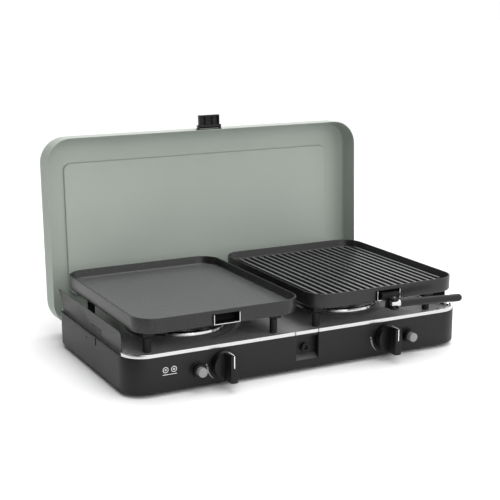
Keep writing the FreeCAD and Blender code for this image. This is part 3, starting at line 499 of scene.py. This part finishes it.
def soften(node, width, segments=1, keen=28, finish=None):
    """Show a copy of a CAD node with its sharp edges rounded."""
    shape = bmesh.new()
    shape.from_mesh(nodes[node].data)
    bmesh.ops.remove_doubles(shape, verts=shape.verts, dist=2e-6)
    bmesh.ops.dissolve_limit(shape, angle_limit=math.radians(0.5), verts=shape.verts,
                             edges=shape.edges)
    edges = [edge for edge in shape.edges
             if edge.is_manifold and edge.calc_face_angle(0) > math.radians(keen)]
    bmesh.ops.bevel(shape, geom=edges, offset=width, offset_type="OFFSET", segments=segments,
                    profile=0.5, affect="EDGES", material=-1, clamp_overlap=True)
    show(shape, node + "_softened", finish or finishes[slot_of[node]], body_of[node],
         (node,), outward=False)


def carve(piece, tools, operation="DIFFERENCE"):
    """Cut closed bmesh tools out of a piece, or add them to it, and keep the result."""
    for tool in tools:
        mesh = bpy.data.meshes.new("tool")
        bmesh.ops.recalc_face_normals(tool, faces=tool.faces)
        tool.to_mesh(mesh)
        tool.free()
        cutter = bpy.data.objects.new("tool", mesh)
        scene.collection.objects.link(cutter)
        change = piece.modifiers.new("change", "BOOLEAN")
        change.operation = operation
        change.solver = "EXACT"
        change.object = cutter
        bpy.context.view_layer.update()
        settled = bpy.data.meshes.new_from_object(
            piece.evaluated_get(bpy.context.evaluated_depsgraph_get()))
        piece.modifiers.clear()
        old = piece.data
        piece.data = settled
        settled.name = piece.name
        bpy.data.meshes.remove(old)
        bpy.data.objects.remove(cutter)
        bpy.data.meshes.remove(mesh)
    smooth(piece.data)


def middle_of(node):
    """The middle of a CAD node's box."""
    low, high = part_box(node)
    return (low + high) / 2


def tool_slab(low, high):
    """A plain box as a cutting tool."""
    shape = bmesh.new()
    slab(shape, low, high)
    return shape


def tool_rod(middle, axis, radius, length, segments=40):
    """A round bar as a cutting tool, centred on a point."""
    shape = bmesh.new()
    points = bmesh.ops.create_cone(shape, cap_ends=True, segments=segments, radius1=radius,
                                   radius2=radius, depth=length)["verts"]
    turn = {"X": Matrix.Rotation(math.pi / 2, 3, "Y"), "Y": Matrix.Rotation(math.pi / 2, 3, "X"),
            "Z": Matrix.Identity(3)}[axis]
    bmesh.ops.rotate(shape, cent=(0, 0, 0), matrix=turn, verts=points)
    bmesh.ops.translate(shape, vec=middle, verts=points)
    return shape


# %% [markdown]
# The case is a deep-drawn pan. Its rings go up the outside, over the rim and down the inside
# to the floor, so the wall has a real thickness. The latch recess is a box welded behind the
# front wall; it is added as a solid block and hollowed out, and then every hole is cut.

# %% Case
case_low, case_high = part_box("housing")
WALL = 1.1 * MM
CASE_CORNER = 40 * MM
BOTTOM_ROUND = 3 * MM
ARM_X = 200 * MM
INLET_HOLE = 11 * MM
SCREW_HOLE = (12 * MM, 52.5 * MM, 2 * MM)
NOTCH = (-34.5 * MM, -30 * MM, 50 * MM)
REAR_STEP = (265 * MM, 59.5 * MM)
PAST = 5 * MM
ABOVE = 70 * MM
case_width = case_high.x - case_low.x
case_depth = case_high.y - case_low.y
front = case_low.y
rings = []
for rise, run in quarter(4):
    inset = BOTTOM_ROUND * (1 - rise)
    rings.append((case_width - 2 * inset, case_depth - 2 * inset, CASE_CORNER - inset,
                  case_low.z + BOTTOM_ROUND * (1 - run)))
for inset, drop in ((0, 0.6), (0.2, 0.15), (0.6, 0), (0.9, 0), (1.3, 0.15), (1.5, 0.6)):
    inset *= MM
    rings.append((case_width - 2 * inset, case_depth - 2 * inset, CASE_CORNER - inset,
                  case_high.z - drop * MM))
rings.append((case_width - 2 * WALL, case_depth - 2 * WALL, CASE_CORNER - WALL,
              case_low.z + WALL))
shape = bmesh.new()
loft(shape, rings, steps=14)
case = show(shape, "case_shell", case_black, "base", ("housing",))
tray_low, tray_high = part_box("hob_tray")
keeper_low, keeper_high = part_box("latch_keeper")
recess_back = keeper_high.y
RECESS_HALF = 20.7 * MM
RECESS_FLOOR = 20 * MM
recess_top = tray_low.z - 0.2 * MM
block = tool_slab((-RECESS_HALF - WALL, front + WALL / 2, RECESS_FLOOR - WALL),
                  (RECESS_HALF + WALL, recess_back + WALL, recess_top))
carve(case, [block], "UNION")
recess = bmesh.new()
slab(recess, (-RECESS_HALF, front - PAST, RECESS_FLOOR),
     (RECESS_HALF, recess_back, case_high.z + PAST))
bmesh.ops.bevel(recess, geom=[edge for edge in recess.edges
                              if abs(edge.verts[0].co.y - edge.verts[1].co.y) > MM
                              and max(point.co.z for point in edge.verts) < RECESS_FLOOR + MM],
                offset=2 * MM, offset_type="OFFSET", segments=4, profile=0.5, affect="EDGES",
                material=-1)
inlet_middle = middle_of("gas_inlet")
holes = [recess]
for side, sign in SIGNS.items():
    for node, radius in (("valve_stem_", 5), ("igniter_button_", 9.8)):
        middle = middle_of(node + side)
        holes.append(tool_rod((middle.x, front, middle.z), "Y", radius * MM, 8 * MM))
    arm_x = sign * ARM_X
    holes.append(tool_slab((arm_x - 4 * MM, -front - PAST, 30 * MM),
                           (arm_x + 4 * MM, -front + PAST, ABOVE)))
holes.append(tool_slab((-REAR_STEP[0], -front - 3 * MM, REAR_STEP[1]),
                       (REAR_STEP[0], -front + PAST, ABOVE)))
holes.append(tool_rod((case_high.x, inlet_middle.y, inlet_middle.z), "X", INLET_HOLE, 2 * PAST))
holes.append(tool_rod((case_low.x, SCREW_HOLE[0], SCREW_HOLE[1]), "X", SCREW_HOLE[2], 2 * PAST))
holes.append(tool_slab((case_low.x - PAST, NOTCH[0], NOTCH[2]),
                       (case_low.x + PAST, NOTCH[1], ABOVE)))
carve(case, holes)
print("case", [round(size / MM, 1) for size in (case_width, case_depth, case_high.z)])

# %% [markdown]
# Behind the catch the recess ends in a sloping ledge, pressed so that the latch slides out
# again. It is one small wedge: a box with its upper front edge moved down to the lip. Its
# paint is a lighter copy of the case's black, a painted highlight on the slope.

# %% Recess ledge
shape = bmesh.new()
slab(shape, (-RECESS_HALF, front + 1.5 * MM, RECESS_FLOOR),
     (RECESS_HALF, recess_back, RECESS_FLOOR + 8 * MM))
for point in shape.verts:
    if point.co.z > RECESS_FLOOR + MM and point.co.y < recess_back - MM:
        point.co.z = RECESS_FLOOR + 0.6 * MM
bmesh.ops.bevel(shape, geom=[edge for edge in shape.edges], offset=0.5 * MM,
                offset_type="OFFSET", segments=2, profile=0.5, affect="EDGES", material=-1)
# painted highlight: the case's black paint made about eight times lighter, standing in for light falling on the
# slope
ledge_painted_highlight = powder_coat("case_black", (0.05, 0.05, 0.05), 0.5)
show(shape, "recess_ledge", ledge_painted_highlight, "base")

# %% [markdown]
# The hob tray is one pressing of brushed steel that closes the case. Its flat part is a thin
# slab with the case's round corners, pierced for the two burners and for the lid's arms.

# %% Hob tray
burner_middle = {side: middle_of("burner_" + side) for side in SIGNS}
FLOOR = 60 * MM
SHEET = 0.8 * MM
WELL_RADIUS = 104 * MM
tray_width = tray_high.x - tray_low.x
tray_depth = tray_high.y - tray_low.y
TRAY_CORNER = CASE_CORNER - (case_width - tray_width) / 2
shape = bmesh.new()
loft(shape, [(tray_width - 2 * MM, tray_depth - 2 * MM, TRAY_CORNER - MM, FLOOR - SHEET),
             (tray_width - 2 * MM, tray_depth - 2 * MM, TRAY_CORNER - MM, FLOOR)], steps=14)
tray = show(shape, "tray_floor", steel, "base", ("hob_tray",))
openings = []
for side, sign in SIGNS.items():
    middle = burner_middle[side]
    openings.append(tool_rod((middle.x, middle.y, FLOOR), "Z", WELL_RADIUS - MM, 6 * MM, 96))
    arm_x = sign * ARM_X
    openings.append(tool_slab((arm_x - 5 * MM, 142 * MM, 50 * MM),
                              (arm_x + 5 * MM, 180 * MM, ABOVE)))
carve(tray, openings)

# %% [markdown]
# Round each burner the sheet is drawn down into a shallow well and then up to a collar that
# carries the drip ring. The well is turned from one profile with the thickness of the sheet.
# Pressing it leaves creases that point away from the burner; they are slim raised strips.

# %% Burner wells
WELL = ((104, 0.1), (101, 0), (98, -1.2), (95.5, -2.4), (93, -2.6), (91, -2.2), (86, -0.4),
        (84, 0.2), (82, 0.35), (80.6, 0.35), (80.4, 0.2), (34, 0.1))
CREASES = ((-128, 112, 150), (-112, 112, 146), (-75, 112, 142), (-58, 112, 152), (-40, 112, 156),
           (-142, 112, 156), (128, 112, 150), (52, 112, 150))
for side, middle in burner_middle.items():
    upper = [(radius * MM, height * MM) for radius, height in WELL]
    lower = [(radius, height - SHEET) for radius, height in reversed(upper)]
    shape = bmesh.new()
    turned(shape, upper + lower + upper[:1], (middle.x, middle.y, FLOOR), steps=120)
    show(shape, "burner_well_" + side, radial_steel, "base", sharp=40)
    shape = bmesh.new()
    for angle, start, stop in CREASES:
        points = slab(shape, (start * MM, -1.2 * MM, -0.2 * MM), (stop * MM, 1.2 * MM, 0.45 * MM))
        for point in points:
            if point.co.z > 0:
                point.co.y *= 0.25
                point.co.x += 6 * MM if point.co.x < 130 * MM else -6 * MM
        bmesh.ops.rotate(shape, cent=(0, 0, 0), verts=points,
                         matrix=Matrix.Rotation(math.radians(angle), 3, "Z"))
        bmesh.ops.translate(shape, vec=(middle.x, middle.y, FLOOR), verts=points)
    show(shape, "tray_creases_" + side, steel, "base", sharp=80)

# %% [markdown]
# The front lip is rolled over and polished. Its section starts at the bottom outside, goes
# over the top, and runs down a wide fillet on to the tray. It is lofted all the way round and
# cut off where the guards begin, and two small breaks mark the latch recess.

# %% Front lip
LIP_END = -138 * MM
section = []
for inset, height in ((0, 60.2), (0, 68.2), (0.25, 68.8), (0.7, 69), (1.3, 69), (1.8, 68.8),
                      (2.2, 68.2), (2.6, 66.5), (3.4, 64.6), (4.8, 62.8), (6.8, 61.4),
                      (9.5, 60.6), (13, 60.2), (13, 60.05), (2, 60.05)):
    section.append((inset * MM, height * MM))
section.append(section[0])
shape = bmesh.new()
loft(shape, [(tray_width - 2 * inset, tray_depth - 2 * inset, TRAY_CORNER - inset, height)
             for inset, height in section], capped=False, steps=16)
bmesh.ops.remove_doubles(shape, verts=shape.verts, dist=1e-7)
cut = bmesh.ops.bisect_plane(shape, geom=[*shape.verts, *shape.edges, *shape.faces],
                             plane_co=(0, LIP_END, 0), plane_no=(0, 1, 0), clear_outer=True)
open_edges = [edge for edge in shape.edges if edge.is_boundary]
bmesh.ops.holes_fill(shape, edges=open_edges, sides=0)
lip = show(shape, "tray_lip", bright_steel, "base", sharp=40)
BREAK = 0.8 * MM
breaks = [tool_slab((-RECESS_HALF, front - MM, 58 * MM),
                    (RECESS_HALF, front + 2.4 * MM, 63.4 * MM))]
for sign in SIGNS.values():
    middle = sign * (RECESS_HALF + BREAK)
    breaks.append(tool_slab((middle - BREAK, front - MM, 59 * MM),
                            (middle + BREAK, front + 18 * MM, ABOVE)))
carve(lip, breaks)
shape = bmesh.new()
slab(shape, (-RECESS_HALF, front + 1.2 * MM, 59.5 * MM),
     (RECESS_HALF, front + 2.2 * MM, 63.3 * MM))
show(shape, "recess_header", case_black, "base")
print("tray", round(tray_width / MM, 1), "by", round(tray_depth / MM, 1), "mm")

# %% [markdown]
# The lid is drawn from one sheet like the case, and its middle is pressed inwards, which keeps
# so large a sheet from drumming. It is easiest to build closed and flat: the rings start on the
# inside of the panel, run out to the rim, round it, and come back over the outside. The whole
# shell is then turned about the hinge by the angle at which it stands open.

# %% Lid
LID_OPEN = math.radians(-92.2)
LID_WALL = 0.8 * MM
LID_CORNER = 45 * MM
LID_ROUND = 7 * MM
PANEL = (534 * MM, 235 * MM, 13 * MM)
PRESS = 4 * MM
hinge = Vector(joints["lid_hinge"]["pos_m"])
opening = (Matrix.Translation(hinge) @ Matrix.Rotation(LID_OPEN, 4, "X")
           @ Matrix.Translation(-hinge))
closing = opening.inverted()
flat = [closing @ point.co for point in nodes["lid_shell"].data.vertices]
lid_low = Vector([min(point[axis] for point in flat) for axis in range(3)])
lid_high = Vector([max(point[axis] for point in flat) for axis in range(3)])
lid_width = lid_high.x - lid_low.x
lid_depth = lid_high.y - lid_low.y


def lid_ring(inset, height):
    """One outline of the lid, a distance in from its outer wall."""
    return (lid_width - 2 * inset, lid_depth - 2 * inset, LID_CORNER - inset, height)


def panel_ring(grow, height):
    """One outline of the pressed panel, a distance out from its edge."""
    return (PANEL[0] + 2 * grow, PANEL[1] + 2 * grow, PANEL[2] + grow, height)


top = lid_high.z
inner_round = LID_ROUND - LID_WALL
rings = [panel_ring(grow * MM, top - LID_WALL - PRESS * sink)
         for grow, sink in ((-1.2, 1), (-0.5, 0.97), (0, 0.85), (0.6, 0.2), (1.3, 0.03), (2, 0),
                            (4, 0))]
rings.append(lid_ring(LID_ROUND + 3 * MM, top - LID_WALL))
for rise, run in quarter(6):
    rings.append(lid_ring(LID_WALL + inner_round * (1 - rise),
                          top - LID_WALL - inner_round * (1 - run)))
rings += [lid_ring(LID_WALL, top - LID_ROUND - 3 * MM), lid_ring(LID_WALL, lid_low.z + 2 * MM),
          lid_ring(LID_WALL, lid_low.z + 0.3 * MM), lid_ring(LID_WALL * 0.75, lid_low.z),
          lid_ring(LID_WALL * 0.25, lid_low.z), lid_ring(0, lid_low.z + 0.3 * MM),
          lid_ring(0, lid_low.z + 2 * MM), lid_ring(0, top - LID_ROUND - 3 * MM)]
for rise, run in reversed(quarter(6)):
    rings.append(lid_ring(LID_ROUND * (1 - rise), top - LID_ROUND * (1 - run)))
rings.append(lid_ring(LID_ROUND + 3 * MM, top))
rings += [panel_ring(grow * MM, top - PRESS * sink)
          for grow, sink in ((4, 0), (2, 0), (1.2, 0.03), (0.5, 0.2), (-0.1, 0.85),
                             (-0.6, 0.97), (-1.4, 1))]
shape = bmesh.new()
loft(shape, rings, steps=14)
bmesh.ops.transform(shape, matrix=opening, verts=shape.verts)
show(shape, "lid_shell_drawn", lid_green, "lid", ("lid_shell",))
print("lid", [round(size / MM, 1) for size in (lid_width, lid_depth, top - lid_low.z)])

# %% [markdown]
# Each plate is cast with a thin wall, a short skirt below the floor, and a shallow gutter
# where the wall meets the floor for the fat to run into. Its rings start under the floor,
# go round the skirt, up the slightly leaning wall, over the rim and down into the gutter.
# Inside the front wall a small boss covers the pocket that the handle pushes into.

# %% Plates
PLATE_CORNER = 36 * MM
PLATE_WALL = 2.6 * MM
SKIRT = 6 * MM
UNDERSIDE = 107.8 * MM
BOSS = 2.2 * MM
PLATE_FLOOR = 112.8 * MM
NODE_OF_PLATE = {"griddle": "griddle_plate", "grill": "grill_plate"}
for plate, node in NODE_OF_PLATE.items():
    low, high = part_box(node)
    middle = (low + high) / 2
    width = high.x - low.x
    depth = high.y - low.y
    profile = [(SKIRT + 2 * MM, UNDERSIDE), (SKIRT + 0.5 * MM, UNDERSIDE - 0.3 * MM),
               (SKIRT, UNDERSIDE - MM), (SKIRT, low.z + 0.5 * MM), (SKIRT - 0.5 * MM, low.z),
               (2.2 * MM, low.z), (1.2 * MM, low.z + 0.4 * MM), (0.5 * MM, low.z + 1.4 * MM),
               (0.3 * MM, low.z + 3 * MM), (0, high.z - 1.1 * MM), (0.15 * MM, high.z - 0.45 * MM),
               (0.6 * MM, high.z - 0.1 * MM), (1.1 * MM, high.z), (1.6 * MM, high.z - 0.1 * MM),
               (2.1 * MM, high.z - 0.5 * MM), (2.4 * MM, high.z - 1.3 * MM),
               (PLATE_WALL + MM, PLATE_FLOOR + 2.2 * MM), (PLATE_WALL + 1.5 * MM, PLATE_FLOOR + MM),
               (PLATE_WALL + 2.4 * MM, PLATE_FLOOR), (PLATE_WALL + 4 * MM, PLATE_FLOOR - 0.7 * MM),
               (PLATE_WALL + 7 * MM, PLATE_FLOOR - 0.8 * MM),
               (PLATE_WALL + 8.5 * MM, PLATE_FLOOR - 0.2 * MM), (PLATE_WALL + 10 * MM, PLATE_FLOOR)]
    rings = [(width - 2 * inset, depth - 2 * inset, PLATE_CORNER - inset, height)
             for inset, height in profile]
    shape = bmesh.new()
    loft(shape, rings, (middle.x, middle.y), steps=12)
    coating = griddle_coating if plate == "griddle" else plate_coating
    casting = show(shape, plate + "_casting", coating, body_of[node], (node,))
    low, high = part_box(plate + "_socket")
    pocket_low = low - Vector((0, 5 * MM, 0))
    boss_low = low + Vector((-BOSS, 4.2 * MM, 7 * MM))
    boss_high = high + Vector((BOSS, BOSS, BOSS))
    boss = bmesh.new()
    slab(boss, boss_low, boss_high, 1.5 * MM, 3)
    carve(casting, [boss], "UNION")
    carve(casting, [tool_slab(pocket_low, high)])
    print(plate, round(width / MM, 1), "by", round(depth / MM, 1), "mm")

# %% [markdown]
# The ribs of the grill plate are cast with it. Each is a bar with drawn-in sides and a
# rounded crown, so that the tops carry the food; the tops are painted lighter than the gaps
# in their coat, a painted highlight from the lamp above. A box with its upper points scaled
# inwards and its edges bevelled is enough.

# %% Grill ribs
RIBS = 20
RIB_PITCH = 13.5 * MM
RIB_HALF = 150 * MM
RIB_WIDTH = 7.2 * MM
RIB_TOP = PLATE_FLOOR + 5 * MM
middle = middle_of("grill_plate")
shape = bmesh.new()
for number in range(RIBS):
    across = middle.x + (number - (RIBS - 1) / 2) * RIB_PITCH
    half = RIB_HALF if 0 < number < RIBS - 1 else RIB_HALF - 14 * MM
    points = slab(shape, (across - RIB_WIDTH / 2, middle.y - half, PLATE_FLOOR - 2 * MM),
                  (across + RIB_WIDTH / 2, middle.y + half, RIB_TOP))
    crown = [point for point in points if point.co.z > PLATE_FLOOR]
    for point in crown:
        point.co.x += (across - point.co.x) * 0.32
        point.co.y += (middle.y - point.co.y) * 0.012
    edges = [edge for point in crown for edge in point.link_edges]
    bmesh.ops.bevel(shape, geom=list(set(edges)), offset=1.1 * MM, offset_type="OFFSET",
                    segments=3, profile=0.5, affect="EDGES", material=-1)
show(shape, "grill_ribs", rib_coating, "grill")

# %% [markdown]
# A steel channel is welded to the front of each plate, and the handle's tongue pushes into
# it. The channel is coated together with the plate, but its coat is a darker, duller copy: the
# real coating with painted shade for the shadow inside. Its front edge rubs bright, so that
# edge is a piece of its own: three thin bars a little in front of the coated sheet.

# %% Handle sockets
SOCKET_SHEET = 1.2 * MM
for plate in ("griddle", "grill"):
    soften(plate + "_socket", 0.15 * MM, finish=socket_painted_shade)
    low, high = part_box(plate + "_socket")
    shape = bmesh.new()
    reach = 0.3 * MM
    for corner, other in (((low.x, low.z), (low.x + SOCKET_SHEET, high.z)),
                          ((high.x - SOCKET_SHEET, low.z), (high.x, high.z)),
                          ((low.x + SOCKET_SHEET, low.z), (high.x - SOCKET_SHEET,
                                                            low.z + SOCKET_SHEET))):
        slab(shape, (corner[0], low.y, corner[1]), (other[0], low.y + reach, other[1]), 0.12 * MM)
    bmesh.ops.translate(shape, vec=(0, -0.05 * MM, 0), verts=shape.verts)
    show(shape, plate + "_socket_edge", bright_steel, plate)

# %% [markdown]
# The drip rings are pressed from bright steel: a flat ring with a rolled inner edge and a
# soft outer one. Turned profiles give them, and give the burner's cap its shallow dome.

# %% Drip rings and burner caps
for side in SIGNS:
    low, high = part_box("drip_ring_" + side)
    middle = (low + high) / 2
    outer = (high.x - low.x) / 2
    rise = high.z - low.z
    profile = [(outer, 0), (outer - 0.9 * MM, rise * 0.78), (outer - 1.4 * MM, rise * 0.92),
               (outer - 2.4 * MM, rise), (outer - 4 * MM, rise), (outer - 6 * MM, rise),
               (outer - 8 * MM, rise * 0.85), (outer - 9.4 * MM, rise * 0.6),
               (outer - 10 * MM, rise * 0.25), (outer - 10 * MM, 0), (outer, 0)]
    shape = bmesh.new()
    turned(shape, profile, (middle.x, middle.y, low.z), steps=96)
    show(shape, "drip_ring_pressed_" + side, bright_steel, "base", ("drip_ring_" + side,), sharp=50)
    low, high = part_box("burner_cap_" + side)
    rise = high.z - low.z
    outer = (high.x - low.x) / 2
    profile = [(0, 0), (outer - MM, 0), (outer - 0.3 * MM, 0.3 * MM), (outer, MM),
               (outer, rise - 2.2 * MM), (outer - 0.4 * MM, rise - 1.2 * MM),
               (outer - 1.4 * MM, rise - 0.6 * MM), (outer * 0.6, rise - 0.15 * MM), (0, rise)]
    shape = bmesh.new()
    turned(shape, profile, (middle.x, middle.y, low.z), steps=72)
    show(shape, "burner_cap_domed_" + side, burner_enamel, "base", ("burner_cap_" + side,))

# %% [markdown]
# Everything else already has its final shape in CAD, and only needs edges that catch light:
# wide ones for castings and mouldings, and fine ones for sheet.

# %% Softened pieces
WIDE = 0.6 * MM
FINE = 0.25 * MM
for side in SIGNS:
    soften("knob_" + side, 0.9 * MM, 3)
    soften("igniter_button_" + side, 0.7 * MM, 3)
    soften("button_bezel_" + side, 0.5 * MM, 3)
    soften("trivet_" + side, FINE)
    soften("trivet_boots_" + side, WIDE)
    soften("guard_" + side, 0.2 * MM)
    soften("burner_" + side, WIDE)
for node, width in (("rubber_feet", WIDE), ("latch_keeper", WIDE), ("tray_posts", FINE),
                    ("tray_screws", FINE), ("lid_arms", FINE), ("latch_mount", FINE),
                    ("latch_clip", 0.4 * MM), ("handle_tongue", 0.3 * MM),
                    ("handle_ferrule", 0.3 * MM), ("gas_inlet", 0.3 * MM)):
    soften(node, width)

# %% [markdown]
# The pieces inside the case are hardly seen, so the CAD solids themselves are shown there,
# with the finish of their slot.

# %% Pieces shown as they are
for node, part in nodes.items():
    finish = finishes[slot_of[node]]
    part.data.materials.clear()
    part.data.materials.append(finish.material)
print(len(nodes), "CAD nodes dressed")

# %% [markdown]
# The handle's grip is a rubber sleeve with rounded ends and a shallow ring near its tip. Its
# axis leans a little from the tongue's, so it is turned upright, laid along X, swung ten degrees
# about Z and set on the handle's pivot; the two ends of the CAD grip are only printed.

# %% Handle grip
pivot = Vector(joints["handle_swing"]["pos_m"])
grip_points = [point.co for point in nodes["handle_grip"].data.vertices]
near = min(grip_points, key=lambda point: (point - pivot).length)
far = max(grip_points, key=lambda point: (point - pivot).length)
GRIP_RADIUS = 6.8 * MM
GRIP_START = 9.5 * MM
GRIP_END = 123 * MM
GRIP_TURN = math.radians(-10)
length = GRIP_END - GRIP_START
profile = [(0, 0)]
for rise, run in quarter(5):
    profile.append((GRIP_RADIUS - 2 * MM * (1 - rise), 2 * MM * (1 - run)))
for place, radius in ((length * 0.4, 6.6), (length - 26 * MM, 6.4), (length - 24.5 * MM, 6.1),
                      (length - 22.5 * MM, 6.1), (length - 21 * MM, 6.5)):
    profile.append((radius * MM, place))
for rise, run in reversed(quarter(8)):
    profile.append((6.5 * MM * rise, length - 6.5 * MM * (1 - run)))
shape = bmesh.new()
turned(shape, profile, (0, 0, GRIP_START), steps=48)
lay = Matrix.Translation(pivot) @ Matrix.Rotation(GRIP_TURN, 4, "Z")
lay = lay @ Matrix.Rotation(math.pi / 2, 4, "Y")
bmesh.ops.transform(shape, matrix=lay, verts=shape.verts)
show(shape, "handle_grip_sleeve", grip_black, "handle_arm", ("handle_grip",))
print("grip ends at x", round(far.x / MM, 1), "and starts at x", round(near.x / MM, 1))

# %% [markdown]
# The pointer on each knob is white ink filled into the grip bar: over its top and down the
# upper half of its front. It turns with the knob.

# %% Knob pointers
INK = 0.12 * MM
LINE = 1.5 * MM
for side in SIGNS:
    low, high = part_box("knob_" + side)
    middle = (low + high) / 2
    shape = bmesh.new()
    slab(shape, (middle.x - LINE / 2, low.y + 0.8 * MM, high.z - 0.5 * MM),
         (middle.x + LINE / 2, low.y + 20 * MM, high.z + INK))
    slab(shape, (middle.x - LINE / 2, low.y - INK, middle.z + 2 * MM),
         (middle.x + LINE / 2, low.y + 0.5 * MM, high.z - 0.8 * MM))
    show(shape, "pointer_" + side, white_ink, "knob_" + side + "_body")

# %% [markdown]
# Beside each knob the panel carries a printed arc that grows thinner, with a small flame at
# its wide end. Ink has no depth to speak of, so each mark is a flat face a hair in front of
# the panel, and the arc is one row of them.

# %% Printed marks
INK_Y = front - 0.05 * MM


def ink_face(shape, points):
    """Add one flat printed face from points given as (x, z)."""
    shape.faces.new([shape.verts.new((across, INK_Y, up)) for across, up in points])


def ring_arc(shape, centre, radius, start, stop, wide, narrow, steps=28):
    """Print an arc whose width changes evenly from its start to its stop."""
    for step in range(steps):
        marks = []
        for part in (step, step + 1):
            share = part / steps
            turn = math.radians(start + (stop - start) * share)
            half = (wide + (narrow - wide) * share) / 2
            for reach in (radius - half, radius + half):
                marks.append((centre[0] + reach * math.cos(turn), centre[1] + reach * math.sin(turn)))
        ink_face(shape, (marks[0], marks[1], marks[3], marks[2]))


FLAME = ((0, -2.2), (1.3, -1.6), (1.6, -0.3), (1.0, 1.0), (0.2, 2.6), (-0.3, 1.1), (-1.0, 0.9),
         (-1.6, -0.3), (-1.3, -1.6))


def flame(shape, centre, size):
    """Print a small flame."""
    ink_face(shape, [(centre[0] + across * size * MM, centre[1] + up * size * MM)
                     for across, up in FLAME])


for side in SIGNS:
    middle = middle_of("knob_" + side)
    centre = (middle.x, middle.z)
    shape = bmesh.new()
    # nine o'clock is 180 degrees and six o'clock is 270
    ring_arc(shape, centre, 28.2 * MM, 184, 232, 3.2 * MM, 0.5 * MM)
    flame(shape, (middle.x - 29 * MM, middle.z + 1.6 * MM), 0.9)
    show(shape, "dial_print_" + side, grey_ink, "base", outward=False)

# %% [markdown]
# The small mark on the left of the front is a plain pictogram of two burners: two rings side
# by side over a short line.

# %% Burner pictogram
STROKE = 0.8 * MM
shape = bmesh.new()
for across in (-249, -235):
    for radius, steps in ((4.2, 32), (1.2, 20)):
        ring_arc(shape, (across * MM, 41.5 * MM), radius * MM, 0, 360, STROKE, STROKE, steps)
ink_face(shape, [(-254 * MM, 33.6 * MM), (-230 * MM, 33.6 * MM), (-230 * MM, 34.4 * MM),
                 (-254 * MM, 34.4 * MM)])
show(shape, "burner_pictogram", white_ink, "base", outward=False)
